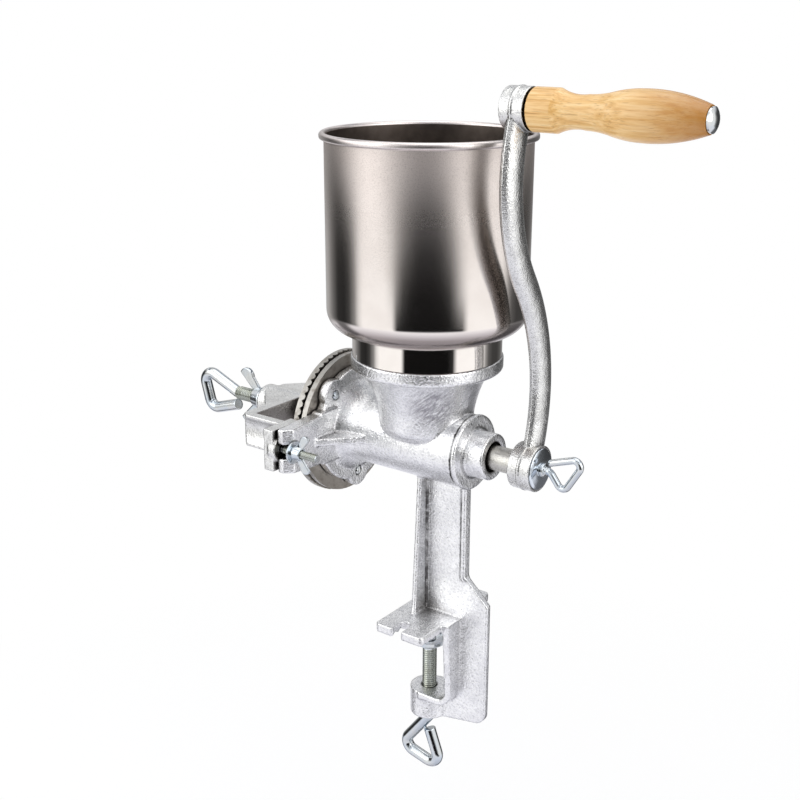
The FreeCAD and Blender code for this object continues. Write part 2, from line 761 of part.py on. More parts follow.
# Grip teeth across the jaw's underside, from side to side, with a plain strip in the middle.
teeth = new_sketch(casting, "jaw_teeth", YZ, "-jaw_left - cut_over")
for side in (NEAR, FAR):
    for step in range(5):
        root = "(jaw_land + jaw_tooth_pitch * %d)" % step
        outline(teeth, [
            (side + root, "-axis_height - cut_over"),
            (side + root, "-axis_height"),
            (side + "(%s + jaw_tooth_pitch / 2)" % root, "-axis_height + jaw_tooth_depth"),
            (side + "(%s + jaw_tooth_pitch * jaw_tooth_share)" % root, "-axis_height"),
            (side + "(%s + jaw_tooth_pitch * jaw_tooth_share)" % root, "-axis_height - cut_over"),
        ])
extrude(casting, "jaw_teeth_cut", teeth, "jaw_left + cut_over + spine_inner - sink / 2", cut=True)
clamp_bore = new_sketch(casting, "clamp_bore", XY, "-frame_foot - cut_over")
circle(clamp_bore, "clamp_offset", "0", "screw_bore")
extrude(casting, "clamp_bore_cut", clamp_bore, "clamp_boss_height + 2 * cut_over", cut=True)

# ---------------------------------------------------------------- hopper
# Drawn from steel sheet: a neck that slips over the spigot, a bowl, a tall wall and a rolled rim.
hopper = new_body("hopper")
sheet_outline = new_sketch(hopper, "wall_outline", XZ)
outline(sheet_outline, [
    ("hopper_neck_radius", "collar_top"),
    ("hopper_neck_radius", "bowl_foot", "bowl_radius", "left"),
    ("hopper_radius", "bowl_top"),
    ("hopper_radius", "hopper_top"),
    ("hopper_radius - sheet_thick", "hopper_top"),
    ("hopper_radius - sheet_thick", "bowl_top", "bowl_radius - sheet_thick", "right"),
    ("hopper_neck_radius - sheet_thick", "bowl_foot + sheet_thick"),
    ("hopper_neck_radius - sheet_thick", "collar_top"),
])
revolve(hopper, "wall", sheet_outline, "V_Axis")
rim = new_sketch(hopper, "rim_outline", XZ)
circle(rim, "hopper_radius + rim_overhang", "hopper_top", "rim_bead_radius")
revolve(hopper, "rim", rim, "V_Axis")

# ---------------------------------------------------------------- worm on the crank shaft
# Cast worm: square tang to the carrier, a right-hand flight that drives grain to the burrs, and
# the shaft, which runs in the rear bearing and ends in two flats for the crank.
worm = new_body("feed_screw")
core = new_sketch(worm, "core_outline", XZ)
outline(core, [
    ("-worm_front", "0"),
    ("-worm_front", "worm_core_radius"),
    ("worm_rear", "worm_core_radius"),
    ("worm_rear", "shaft_radius"),
    ("hub_face - loose_fit", "shaft_radius"),
    ("hub_face - loose_fit", "0"),
])
revolve(worm, "core", core, "H_Axis")
tang = new_sketch(worm, "tang_outline", YZ, "-tang_end")
box(tang, "-tang_half", "tang_half", "-tang_half", "tang_half")
extrude(worm, "tang", tang, "tang_end - worm_front + sink")
flight = new_sketch(worm, "flight_section", XZ)
outline(flight, [
    ("-worm_front", "worm_core_radius - sink"),
    ("-worm_front + (worm_flight_root - worm_flight_tip) / 2", "worm_flight_radius"),
    ("-worm_front + (worm_flight_root + worm_flight_tip) / 2", "worm_flight_radius"),
    ("-worm_front + worm_flight_root", "worm_core_radius - sink"),
])
helix = worm.newObject("PartDesign::AdditiveHelix", "feed_screw_flight")
helix.Profile = flight
helix.ReferenceAxis = (flight, ["H_Axis"])
helix.Mode = "pitch-height-angle"
helix.setExpression("Pitch", bind("worm_pitch"))
helix.setExpression("Height", bind("worm_front + worm_rear - worm_flight_root"))
for name, low, high in (("upper", "shaft_flat", "shaft_radius + cut_over"), ("lower", "-shaft_radius - cut_over", "-shaft_flat")):
    flat = new_sketch(worm, "flat_" + name, YZ, "hub_rear")
    box(flat, "-shaft_radius - cut_over", "shaft_radius + cut_over", low, high)
    extrude(worm, "flat_cut_" + name, flat, "crank_hub_length + cut_over", cut=True)
thumb_bore = new_sketch(worm, "thumb_bore", YZ, "hub_face - thumb_depth - loose_fit")
circle(thumb_bore, "0", "0", "thumb_thread_radius + loose_fit")
extrude(worm, "thumb_bore_cut", thumb_bore, "thumb_depth + cut_over", cut=True)
pin_bore = new_sketch(worm, "pin_bore", XZ, "-tang_half - cut_over")
circle(pin_bore, "-pin_place", "0", "pin_radius + running_fit")
extrude(worm, "pin_bore_cut", pin_bore, "2 * tang_half + 2 * cut_over", cut=True)


# ---------------------------------------------------------------- burrs
def cut_teeth(body, name, face, direction, inner, outer, count, depth, width):
    """Radial V grooves in a burr's face, each wider outward; direction is +1 or -1 along X."""
    sections = []
    for end, radius in (("in", inner), ("out", outer)):
        section = new_sketch(body, name + "_" + end, XZ, radius)
        half = "(%s) * (%s) / (%s) / 2" % (width, radius, outer)
        sink = "%s - %s * (%s)" % (face, direction, depth)
        proud = "%s + %s * cut_over / 2" % (face, direction)
        outline(section, [(sink, "0"), (proud, half), (proud, "-(%s)" % half)])
        sections.append(section)
    groove = body.newObject("PartDesign::SubtractiveLoft", body.Name + "_" + name)
    groove.Profile = sections[0]
    groove.Sections = sections[1:]
    groove.Ruled = True
    polar(body, name + "_ring", [groove], "X_Axis", count)


def new_burr(label, back, front, radius, bore, tooth_side, tooth_end):
    """A toothed disc between X = -front and X = -back, coarse teeth inside, fine teeth at the rim."""
    body = new_body(label)
    disc = new_sketch(body, "disc_outline", XZ)
    box(disc, "-(%s)" % front, "-(%s)" % back, bore, radius)
    revolve(body, "disc", disc, "H_Axis")
    face = "-(%s)" % (front if tooth_side == "-1" else back)
    cut_teeth(body, "coarse", face, tooth_side, "coarse_inner - 2 * cut_over", "fine_inner", "coarse_count",
              "coarse_depth", "coarse_width")
    cut_teeth(body, "fine", face, tooth_side, "fine_inner", tooth_end, "fine_count",
              "fine_depth", "fine_fill * 2 * pi * (%s) / fine_count" % radius)
    return body


fixed_burr = new_burr("fixed_burr", "flange_reach", "burr_front", "burr_radius", "bore_radius", "-1",
                      "burr_radius - rim_land")
burr_holes = new_sketch(fixed_burr, "rivet_holes", YZ, "-burr_front - cut_over")
for across, up in RIVETS.values():
    circle(burr_holes, across, up, "rivet_radius + running_fit")
extrude(fixed_burr, "rivet_holes_cut", burr_holes, "burr_thick + 2 * cut_over", cut=True)
rotary_burr = new_burr("rotary_burr", "rotor_face", "rotor_back", "rotor_radius",
                       "hub_spigot_radius + rotor_bore_gap", "1", "rotor_radius + cut_over")

# Rivets hold the fixed burr on the flange; each has a low domed head on the flange's back.
for place, (across, up) in RIVETS.items():
    rivet = new_body("burr_rivet_" + place, "0", across, "axis_height + (%s)" % up)
    shank = new_sketch(rivet, "shank_outline", XZ)
    outline(shank, [
        ("-burr_front + fine_depth", "0"),
        ("-burr_front + fine_depth", "rivet_radius"),
        ("-flange_back", "rivet_radius", "rivet_radius * rivet_dome", "right"),
        ("-flange_back + rivet_radius / 2", "0"),
    ])
    revolve(rivet, "shank", shank, "H_Axis")

# ---------------------------------------------------------------- carrier, drive pin and ball
# The carrier backs the rotary burr, holds the worm's tang in a square hole, and takes the
# adjusting screw's thrust on a ball in its hub.
carrier = new_body("burr_carrier")
carrier_outline = new_sketch(carrier, "plate_outline", XZ)
outline(carrier_outline, [
    ("-hub_back - ball_radius", "0"),
    ("-hub_back - ball_radius", "carrier_hub_radius - hub_chamfer"),
    ("-hub_back", "carrier_hub_radius"),
    ("-carrier_back", "carrier_hub_radius"),
    ("-carrier_back", "carrier_radius"),
    ("-rotor_back", "carrier_radius"),
    ("-rotor_back", "hub_spigot_radius"),
    ("-rotor_face - rotor_thick / 3", "hub_spigot_radius"),
    ("-rotor_face - rotor_thick / 3", "0"),
])
revolve(carrier, "plate", carrier_outline, "H_Axis")
tang_hole = new_sketch(carrier, "tang_hole", YZ, "-tang_end - loose_fit")
socket_half = "tang_half + rotor_bore_gap"
box(tang_hole, "-(%s)" % socket_half, socket_half, "-(%s)" % socket_half, socket_half)
extrude(carrier, "tang_hole_cut", tang_hole, "tang_end - rotor_face + 2 * cut_over", cut=True)
ball_seat = new_sketch(carrier, "ball_seat", XZ)
outline(ball_seat, [
    ("-ball_place - ball_radius - cut_over", "0"),
    ("-ball_place - ball_radius - cut_over", "ball_radius + loose_fit"),
    ("-ball_place", "ball_radius + loose_fit", "ball_radius + loose_fit", "right"),
    ("-ball_place + ball_radius + loose_fit", "0"),
])
revolve(carrier, "ball_seat_cut", ball_seat, "H_Axis", cut=True)
carrier_pin_bore = new_sketch(carrier, "pin_bore", XZ, "-carrier_hub_radius - cut_over")
circle(carrier_pin_bore, "-pin_place", "0", "pin_radius + running_fit")
extrude(carrier, "pin_bore_cut", carrier_pin_bore, "2 * carrier_hub_radius + 2 * cut_over", cut=True)

drive_pin = new_body("drive_pin")
pin = new_sketch(drive_pin, "pin_outline", XZ, "-carrier_hub_radius + pin_sink")
circle(pin, "-pin_place", "0", "pin_radius")
extrude(drive_pin, "pin", pin, "2 * carrier_hub_radius - 2 * pin_sink")

ball = doc.addObject("Part::Sphere", "thrust_ball")
ball.Label = "thrust_ball"
ball.setExpression("Radius", bind("ball_radius"))
ball.setExpression("Placement.Base.x", bind("-ball_place"))
ball.setExpression("Placement.Base.z", bind("axis_height"))
pieces.append(ball)

# ---------------------------------------------------------------- yoke
# Cast bow bolted to the ears: two side walls outside the burrs, a back that grows into the
# threaded boss, and an ear out from each wall.
yoke = new_body("yoke")
bow = new_sketch(yoke, "bow_outline", XY, "-yoke_half_height")
outline(bow, [
    ("-yoke_ear_front", "-yoke_outer"),
    ("-yoke_back - yoke_back_thick / 2", "-yoke_outer"),
    ("-yoke_back - yoke_back_thick", "-yoke_outer + yoke_wall / 2"),
    ("-yoke_back - yoke_back_thick", "-yoke_cone_spread"),
    ("-yoke_boss_end + cone_end", "-yoke_boss_radius + cone_set"),
    ("-yoke_boss_end + cone_end", "yoke_boss_radius - cone_set"),
    ("-yoke_back - yoke_back_thick", "yoke_cone_spread"),
    ("-yoke_back - yoke_back_thick", "yoke_outer - yoke_wall / 2"),
    ("-yoke_back - yoke_back_thick / 2", "yoke_outer"),
    ("-yoke_ear_front", "yoke_outer"),
    ("-yoke_ear_front", "yoke_inner"),
    ("-yoke_back", "yoke_inner"),
    ("-yoke_back", "-yoke_inner"),
    ("-yoke_ear_front", "-yoke_inner"),
])
extrude(yoke, "bow", bow, "2 * yoke_half_height")
for side in (NEAR, FAR):
    place = "near" if side == NEAR else "far"
    ear = new_sketch(yoke, "ear_" + place, YZ, "-yoke_ear_back")
    box(ear, side + "(yoke_ear_reach)", side + "(yoke_inner)", "-yoke_ear_half_height", "yoke_ear_half_height")
    extrude(yoke, "ear_pad_" + place, ear, "yoke_ear_thick")
    seat = new_sketch(yoke, "seat_" + place, YZ, "-yoke_ear_back + yoke_ear_thick / 2")
    circle(seat, side + "(bolt_offset)", "0", "yoke_seat_radius")
    extrude(yoke, "seat_pad_" + place, seat, "yoke_ear_thick / 2 + yoke_ear_gap")
    # Each side wall is hollowed along its outer face.
    hollow = new_sketch(yoke, "hollow_" + place, YZ, "-yoke_back - yoke_back_thick - cut_over")
    hollow_half = "yoke_half_height - yoke_edge"
    outline(hollow, [
        (side + "(yoke_outer + cut_over)", "-(%s)" % hollow_half),
        (side + "yoke_outer", "-(%s)" % hollow_half,
         "((%s)^2 + yoke_hollow^2) / 2 / yoke_hollow" % hollow_half, "left" if side == NEAR else "right"),
        (side + "yoke_outer", hollow_half),
        (side + "(yoke_outer + cut_over)", hollow_half),
    ])
    extrude(yoke, "hollow_cut_" + place, hollow, "yoke_back + yoke_back_thick - yoke_ear_back - cut_over", cut=True)
yoke_boss = new_sketch(yoke, "boss_outline", XZ)
outline(yoke_boss, [
    ("-yoke_boss_end", "0"),
    ("-yoke_boss_end", "yoke_boss_radius - yoke_boss_edge"),
    ("-yoke_boss_end + yoke_boss_edge", "yoke_boss_radius"),
    ("-yoke_back", "yoke_boss_radius"),
    ("-yoke_back", "0"),
])
revolve(yoke, "boss", yoke_boss, "H_Axis")
yoke_bores = new_sketch(yoke, "bolt_holes", YZ, "-yoke_ear_back - cut_over")
for side in (NEAR, FAR):
    circle(yoke_bores, side + "(bolt_offset)", "0", "bolt_radius + rotor_bore_gap")
extrude(yoke, "bolt_holes_cut", yoke_bores, "yoke_ear_thick + yoke_ear_gap + 2 * cut_over", cut=True)
screw_hole = new_sketch(yoke, "screw_hole", YZ, "-yoke_boss_end - cut_over")
circle(screw_hole, "0", "0", "screw_bore")
extrude(yoke, "screw_hole_cut", screw_hole, "yoke_boss_end - yoke_back + 2 * cut_over", cut=True)

# ---------------------------------------------------------------- yoke bolts, washers and wing nuts
def new_wing_nut(label, x, y, z, direction, hub_radius, hub_length, span, width, lean, thick, bore):
    """A wing nut on an axis along X; direction +1 or -1 is the way its free side faces."""
    body = new_body(label, x, y, z)
    hub = new_sketch(body, "hub_outline", XZ)
    base, top = ("0", hub_length) if direction == "1" else ("-(%s)" % hub_length, "0")
    wide, slim = hub_radius, "(%s) * wing_hub_taper" % hub_radius
    at_base, at_top = (wide, slim) if direction == "1" else (slim, wide)
    outline(hub, [(base, "0"), (base, at_base), (top, at_top), (top, "0")])
    revolve(body, "hub", hub, "H_Axis")
    wing = new_sketch(body, "wing_outline", XZ, "-(%s) / 2" % thick)
    toward = "" if direction == "1" else "-1 * "
    root_low, root_high = "(%s) * wing_root" % hub_length, "(%s) * (1 - wing_root)" % hub_length
    tip_low, tip_high = "(%s)" % lean, "(%s) + (%s)" % (lean, width)
    side = ("right", "left") if direction == "1" else ("left", "right")
    outline(wing, [
        (toward + root_low, "(%s) / 3" % hub_radius),
        (toward + tip_low, "(%s) - (%s) / 2" % (span, width), "(%s) * wing_round" % width, side[0]),
        (toward + "(%s)" % tip_high, "(%s) - (%s) / 3" % (span, width)),
        (toward + root_high, "(%s) / 3" % hub_radius),
    ])
    pad = extrude(body, "wing", wing, thick)
    mirror(body, "wing_pair", [pad], XY)
    hole = new_sketch(body, "hole_outline", YZ, "-1" if direction == "1" else "-(%s) - 1" % hub_length)
    circle(hole, "0", "0", bore)
    extrude(body, "hole_cut", hole, "(%s) + 2" % hub_length, cut=True)
    return body


for side in (NEAR, FAR):
    place = "near" if side == NEAR else "far"
    offset = side + "bolt_offset"
    bolt = new_body("yoke_bolt_" + place, "0", offset)
    bolt_outline = new_sketch(bolt, "bolt_outline", XZ)
    outline(bolt_outline, [
        ("-yoke_ear_back - bolt_head_thick", "0"),
        ("-yoke_ear_back - bolt_head_thick", "bolt_head_radius * bolt_head_dome"),
        ("-yoke_ear_back - bolt_head_thick / 2", "bolt_head_radius"),
        ("-yoke_ear_back", "bolt_head_radius"),
        ("-yoke_ear_back", "bolt_radius"),
        ("-ear_face + bolt_free", "bolt_radius"),
        ("-ear_face + bolt_free", "0"),
    ])
    revolve(bolt, "bolt", bolt_outline, "H_Axis")
    washer = new_body("yoke_washer_" + place, "-ear_face", offset)
    washer_outline = new_sketch(washer, "washer_outline", XZ)
    box(washer_outline, "0", "washer_thick", "bolt_radius + loose_fit", "washer_radius")
    revolve(washer, "washer", washer_outline, "H_Axis")
    new_wing_nut("yoke_wing_nut_" + place, "-ear_face + washer_thick", offset, "axis_height", "1",
                 "wing_hub_radius", "wing_hub_length", "wing_span", "wing_width", "wing_lean",
                 "wing_thick", "bolt_radius + loose_fit")


# ---------------------------------------------------------------- adjusting screw and its lock nut
def wire_eye(body, name, points, bend, wire, start_plane, start):
    """Bend round wire along points in the XZ plane; the wire's end lies on start_plane at start."""
    path = new_sketch(body, name + "_path", XZ)
    bent_path(path, points, bend)
    section = new_sketch(body, name + "_section", start_plane, start[0])
    circle(section, start[1], start[2], wire)
    return sweep(body, name, section, path)


adjusting = new_body("adjusting_screw")
shank = new_sketch(adjusting, "shank_outline", XZ)
outline(shank, [
    ("-adjust_shank_end", "0"),
    ("-adjust_shank_end", "screw_wire_radius"),
    ("-adjust_shank_end + 2 * sink", "screw_radius"),
    ("-ball_place - ball_radius - loose_fit - screw_edge", "screw_radius"),
    ("-ball_place - ball_radius - loose_fit", "screw_radius - screw_edge"),
    ("-ball_place - ball_radius - loose_fit", "0"),
])
revolve(adjusting, "shank", shank, "H_Axis")
wire_eye(adjusting, "eye", [
    ("-adjust_shank_end + sink", "0"),
    ("-adjust_shank_end - screw_wire_radius", "0"),
    ("-adjust_shank_end - adjust_eye_length", "adjust_eye_rise + screw_wire_radius / 2"),
    ("-adjust_shank_end - adjust_eye_length * adjust_eye_share", "-adjust_eye_drop - screw_wire_radius"),
    ("-adjust_shank_end - screw_wire_radius", "-screw_wire_radius * adjust_eye_gap"),
], "eye_bend - sink", "screw_wire_radius", YZ, ("-adjust_shank_end + sink", "0", "0"))

lock_washer = new_body("lock_washer", "-yoke_boss_end")
lock_washer_outline = new_sketch(lock_washer, "washer_outline", XZ)
box(lock_washer_outline, "-lock_washer_thick", "0", "screw_bore", "lock_washer_radius")
revolve(lock_washer, "washer", lock_washer_outline, "H_Axis")
new_wing_nut("lock_wing_nut", "-yoke_boss_end - lock_washer_thick", "0", "axis_height", "-1",
             "lock_hub_radius", "lock_hub_length", "lock_span", "lock_width", "lock_lean",
             "lock_wing_thick", "screw_bore")

# ---------------------------------------------------------------- crank arm
# Cast S-shaped arm of oval section between a flatted hub and the handle's eye. Its own Z runs
# from the shaft to the handle; the whole crank stands turned by crank_lean at rest.
def against_lean(across, up):
    """A level point of the shaft as the leaning crank's own sketch has it."""
    return ("(%s) * cos(crank_lean) + (%s) * sin(crank_lean)" % (across, up),
            "(%s) * cos(crank_lean) - (%s) * sin(crank_lean)" % (up, across))


crank = new_body("crank_arm")
crank.Placement = FreeCAD.Placement(Vector(0, 0, 0), FreeCAD.Rotation(Vector(1, 0, 0), SIZES["crank_lean"]))
for axis, expression in (("x", "0"), ("y", "0"), ("z", "axis_height")):
    crank.setExpression("Placement.Base." + axis, bind(expression))
crank.setExpression("Placement.Rotation.Angle", bind("crank_lean") + " * 1 deg")
bow_path = new_sketch(crank, "arm_path", YZ, "crank_plane")
turn_over = "crank_radius * arm_inflection"
outline_points = [("0", "0"), ("0", turn_over), ("0", "crank_radius")]
arcs = []
for (start, end, side) in ((outline_points[0], outline_points[1], "left"),
                           (outline_points[1], outline_points[2], "right")):
    first = Vector(measure(start[0]), measure(start[1]), 0)
    last = Vector(measure(end[0]), measure(end[1]), 0)
    bend = "((%s) - (%s)) / 2 / sin(2 * arm_bow)" % (end[1], start[1])
    geometry = bow_path.addGeometry(arc_between(first, last, measure(bend), side), False)
    lower = 1 if (bow_path.getPoint(geometry, 1) - first).Length < 1e-6 else 2
    arcs.append((geometry, lower))
    pin_point(bow_path, geometry, 3 - lower, end[0], end[1])
    set_radius(bow_path, geometry, bend)
pin_point(bow_path, arcs[0][0], arcs[0][1], "0", "0")
bow_path.addConstraint(Sketcher.Constraint(
    "Coincident", arcs[0][0], 3 - arcs[0][1], arcs[1][0], arcs[1][1]))
doc.recompute()
arm_section = crank.newObject("Sketcher::SketchObject", "crank_arm_section")
arm_section.AttachmentSupport = (bow_path, ["Edge1"])
arm_section.MapMode = "NormalToEdge"
ellipse(arm_section, "0", "0", "arm_half_thick", "arm_half_width")
sweep(crank, "arm", arm_section, bow_path)
ridge_section = crank.newObject("Sketcher::SketchObject", "crank_ridge_section")
ridge_section.AttachmentSupport = (bow_path, ["Edge1"])
ridge_section.MapMode = "NormalToEdge"
ellipse(ridge_section, "0", "0", "parting_half_thick", "arm_half_width + parting_rise")
sweep(crank, "ridge", ridge_section, bow_path)
crank_hub = new_sketch(crank, "hub_outline", YZ, "hub_rear")
circle(crank_hub, "0", "0", "crank_hub_radius")
extrude(crank, "hub", crank_hub, "crank_hub_length")
crank_eye = new_sketch(crank, "eye_outline", YZ, "crank_plane - crank_eye_length / 2")
circle(crank_eye, "0", "crank_radius", "crank_eye_radius")
extrude(crank, "eye", crank_eye, "crank_eye_length")
ridges = new_sketch(crank, "hub_ridges", YZ, "crank_plane - parting_half_thick")
circle(ridges, "0", "0", "crank_hub_radius + parting_rise")
circle(ridges, "0", "crank_radius", "crank_eye_radius + parting_rise")
extrude(crank, "hub_ridges_pad", ridges, "2 * parting_half_thick")
hub_bore = new_sketch(crank, "hub_bore", YZ, "hub_rear - cut_over")
shaft_hole = "shaft_radius + rotor_bore_gap"
flat_half = "sqrt((%s)^2 - (%s)^2)" % (shaft_hole, "shaft_flat + rotor_bore_gap")
flat_up = "shaft_flat + rotor_bore_gap"
outline(hub_bore, [
    against_lean("-(%s)" % flat_half, "-(%s)" % flat_up),
    against_lean(flat_half, "-(%s)" % flat_up) + (shaft_hole, "left"),
    against_lean(flat_half, flat_up),
    against_lean("-(%s)" % flat_half, flat_up) + (shaft_hole, "left"),
])
extrude(crank, "hub_bore_cut", hub_bore, "crank_hub_length + 2 * cut_over", cut=True)
spindle_bore = new_sketch(crank, "spindle_bore", YZ, "crank_plane - crank_eye_length / 2 - cut_over")
circle(spindle_bore, "0", "crank_radius", "spindle_radius + running_fit")
extrude(crank, "spindle_bore_cut", spindle_bore, "crank_eye_length + 2 * cut_over", cut=True)

# ---------------------------------------------------------------- crank washer and thumbscrew
crank_washer = new_body("crank_washer", "hub_face")
crank_washer_outline = new_sketch(crank_washer, "washer_outline", XZ)
outline(crank_washer_outline, [
    ("0", "thumb_thread_radius + loose_fit"),
    ("0", "crank_washer_radius"),
    ("crank_washer_thick * 0.5", "crank_washer_radius"),
    ("crank_washer_thick", "crank_washer_radius - crank_washer_thick"),
    ("crank_washer_thick", "thumb_thread_radius + loose_fit"),
])
revolve(crank_washer, "washer", crank_washer_outline, "H_Axis")

thumbscrew = new_body("crank_thumbscrew", "hub_face + crank_washer_thick")
thumb_outline = new_sketch(thumbscrew, "shank_outline", XZ)
thumb_tip = "-crank_washer_thick - thumb_depth + loose_fit"
outline(thumb_outline, [
    (thumb_tip, "0"),
    (thumb_tip, "thumb_thread_radius"),
    ("0", "thumb_thread_radius"),
    ("0", "thumb_thread_radius + thumb_shoulder"),
    ("thumb_shoulder_thick", "thumb_thread_radius + thumb_shoulder"),
    ("3", "thumb_wire_radius"),
    ("3", "0"),
])
revolve(thumbscrew, "shank", thumb_outline, "H_Axis")
wire_eye(thumbscrew, "eye", [
    ("2", "0"),
    ("thumb_shoulder_thick + thumb_wire_radius * thumb_eye_turn", "0"),
    ("thumb_eye_length * thumb_eye_share", "-thumb_eye_drop - thumb_wire_radius"),
    ("thumb_eye_length + thumb_wire_radius", "thumb_eye_rise + thumb_wire_radius"),
    ("thumb_shoulder_thick + sink + thumb_wire_radius", "thumb_wire_radius * thumb_eye_gap"),
], "eye_bend / 2", "thumb_wire_radius", YZ, ("thumb_shoulder_thick", "0", "0"))

# ---------------------------------------------------------------- handle
# Turned wooden grip that spins on a headed spindle riveted in the crank's eye.
handle_y = "-crank_radius * sin(crank_lean)"
handle_z = "axis_height + crank_radius * cos(crank_lean)"
spindle = new_body("handle_spindle", "0", handle_y, handle_z)
grip_start = "eye_face + grip_gap"
grip_end = "(%s) + grip_length" % grip_start
spindle_outline = new_sketch(spindle, "spindle_outline", XZ)
outline(spindle_outline, [
    ("crank_plane - crank_eye_length / 2", "0"),
    ("crank_plane - crank_eye_length / 2", "spindle_radius"),
    ("(%s) + loose_fit" % grip_end, "spindle_radius"),
    ("(%s) + loose_fit" % grip_end, "spindle_head_radius"),
    ("(%s) + loose_fit + spindle_collar" % grip_end, "spindle_head_radius",
     "(spindle_head_radius^2 + (spindle_head_height - spindle_collar)^2) / 2 / (spindle_head_height - spindle_collar)", "right"),
    ("(%s) + loose_fit + spindle_head_height" % grip_end, "0"),
])
revolve(spindle, "spindle", spindle_outline, "H_Axis")

grip = new_body("handle_grip", grip_start, handle_y, handle_z)
grip_outline = new_sketch(grip, "grip_outline", XZ)
outline(grip_outline, [
    ("0", "spindle_radius + loose_fit"),
    ("0", "grip_collar_radius - grip_round"),
    ("0.6", "grip_collar_radius"),
    ("grip_collar_length", "grip_collar_radius", "30", "left"),
    ("grip_neck_place", "grip_neck_radius", "60", "left"),
    ("(grip_neck_place + grip_belly_place) / 2 - grip_swell", "(grip_neck_radius + grip_belly_radius) / 2 - grip_round", "70", "right"),
    ("grip_belly_place", "grip_belly_radius", "95", "right"),
    ("grip_length", "grip_end_radius"),
    ("grip_length", "spindle_radius + loose_fit"),
])
revolve(grip, "grip", grip_outline, "H_Axis")

# ---------------------------------------------------------------- clamp screw and pad
clamp_pad = new_body("clamp_pad", "clamp_offset", "0", "-pad_drop")
pad_outline = new_sketch(clamp_pad, "pad_outline", XZ)
outline(pad_outline, [
    ("tip_radius + loose_fit", "-pad_thick - pad_hub_height"),
    ("pad_hub_radius", "-pad_thick - pad_hub_height"),
    ("pad_hub_radius + cut_over", "-pad_thick"),
    ("pad_radius - cut_over", "-pad_thick"),
    ("pad_radius", "-pad_thick + cut_over"),
    ("pad_radius", "0"),
    ("pad_radius - pad_lip", "0"),
    ("pad_radius - pad_lip - 2 * cut_over", "-pad_lip"),
    ("tip_radius + loose_fit", "-pad_lip"),
])
revolve(clamp_pad, "pad", pad_outline, "V_Axis")

clamp_screw = new_body("clamp_screw", "clamp_offset", "0", "0")
clamp_shank = new_sketch(clamp_screw, "shank_outline", XZ)
shank_top = "-pad_drop - pad_thick - pad_hub_height - loose_fit"
shank_foot = "axis_height - frame_foot - 2"
outline(clamp_shank, [
    ("0", shank_foot),
    ("screw_wire_radius", shank_foot),
    ("screw_radius", "(%s) + 2" % shank_foot),
    ("screw_radius", shank_top),
    ("tip_radius", shank_top),
    ("tip_radius", "-pad_drop - pad_lip + loose_fit"),
    ("tip_radius + 1.6", "-pad_drop - pad_lip + loose_fit"),
    ("tip_radius + 0.6", "-pad_drop - loose_fit"),
    ("0", "-pad_drop - loose_fit"),
])
revolve(clamp_screw, "shank", clamp_shank, "V_Axis")
wire_eye(clamp_screw, "eye", [
    ("0", shank_foot + " + cut_over"),
    ("0", shank_foot + " - 3"),
    ("-clamp_eye_left", shank_foot + " - clamp_eye_drop"),
    ("clamp_eye_right", shank_foot + " - clamp_eye_depth"),
    ("clamp_hook_side", shank_foot + " - clamp_hook_drop"),
], "eye_bend - sink", "screw_wire_radius", XY, (shank_foot + " + cut_over", "0", "0"))

# ---------------------------------------------------------------- check and write
doc.recompute()
failed = [item.Name for item in doc.Objects if "Invalid" in item.State or "Error" in item.State]
if failed:
    raise RuntimeError("objects that failed: " + ", ".join(failed))
os.makedirs("parts", exist_ok=True)
for piece in pieces:
    shape = piece.Shape
    if shape.isNull() or not shape.isValid():
        raise RuntimeError(piece.Label + " has no valid shape")
    shape.exportStep(os.path.join("parts", piece.Label + ".step"))
    print("%-22s solids %d  volume %9.0f mm3" % (piece.Label, len(shape.Solids), shape.Volume))
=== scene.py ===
import json
import math
import bmesh
import bpy
from mathutils import Matrix, Vector


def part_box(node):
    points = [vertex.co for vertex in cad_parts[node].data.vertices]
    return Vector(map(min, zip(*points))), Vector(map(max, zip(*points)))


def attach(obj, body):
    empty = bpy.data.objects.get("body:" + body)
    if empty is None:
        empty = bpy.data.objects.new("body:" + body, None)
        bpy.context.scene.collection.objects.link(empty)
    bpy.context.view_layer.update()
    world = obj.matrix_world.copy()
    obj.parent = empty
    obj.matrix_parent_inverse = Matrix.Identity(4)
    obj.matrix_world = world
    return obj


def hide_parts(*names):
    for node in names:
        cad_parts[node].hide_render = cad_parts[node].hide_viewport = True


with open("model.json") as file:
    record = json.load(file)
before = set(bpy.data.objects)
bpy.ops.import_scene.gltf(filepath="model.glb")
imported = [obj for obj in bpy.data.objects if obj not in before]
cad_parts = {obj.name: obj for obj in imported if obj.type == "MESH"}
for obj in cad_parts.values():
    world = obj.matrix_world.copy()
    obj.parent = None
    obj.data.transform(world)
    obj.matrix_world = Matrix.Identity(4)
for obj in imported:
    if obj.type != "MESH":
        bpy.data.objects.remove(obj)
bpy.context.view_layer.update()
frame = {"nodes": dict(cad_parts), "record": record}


# ---------------------------------------------------------------- body casting
# Barrel, throat, burr flange, leg and clamp frame in one sand casting of grey iron, dipped in tin.
# The sand leaves every edge round, and the tin lies over it bright and grainy, with painted shade dulling the
# corners.
MM = 0.001
AXIS_HEIGHT = 127 * MM          # the shaft's axis over the clamp jaw's underside
MOST_FACES = 180000             # triangles that one skin may have
COLLAR = (AXIS_HEIGHT + 50.2 * MM, AXIS_HEIGHT + 60.8 * MM)     # the turned band that the hopper sits on
# A darker grey patch of streaks on the throat, with flatter lumps under it.
STREAK_PATCH = ((24 * MM, -26 * MM, AXIS_HEIGHT + 34 * MM), 20 * MM)   # its middle and reach, on the throat
# Painted shade lines in the two corners of the rear ring: place along the shaft, radius, darkness.
RING_SHADE_LINES = ((35.2 * MM, 25.2 * MM, 0.95), (39.3 * MM, 17.6 * MM, 0.55))
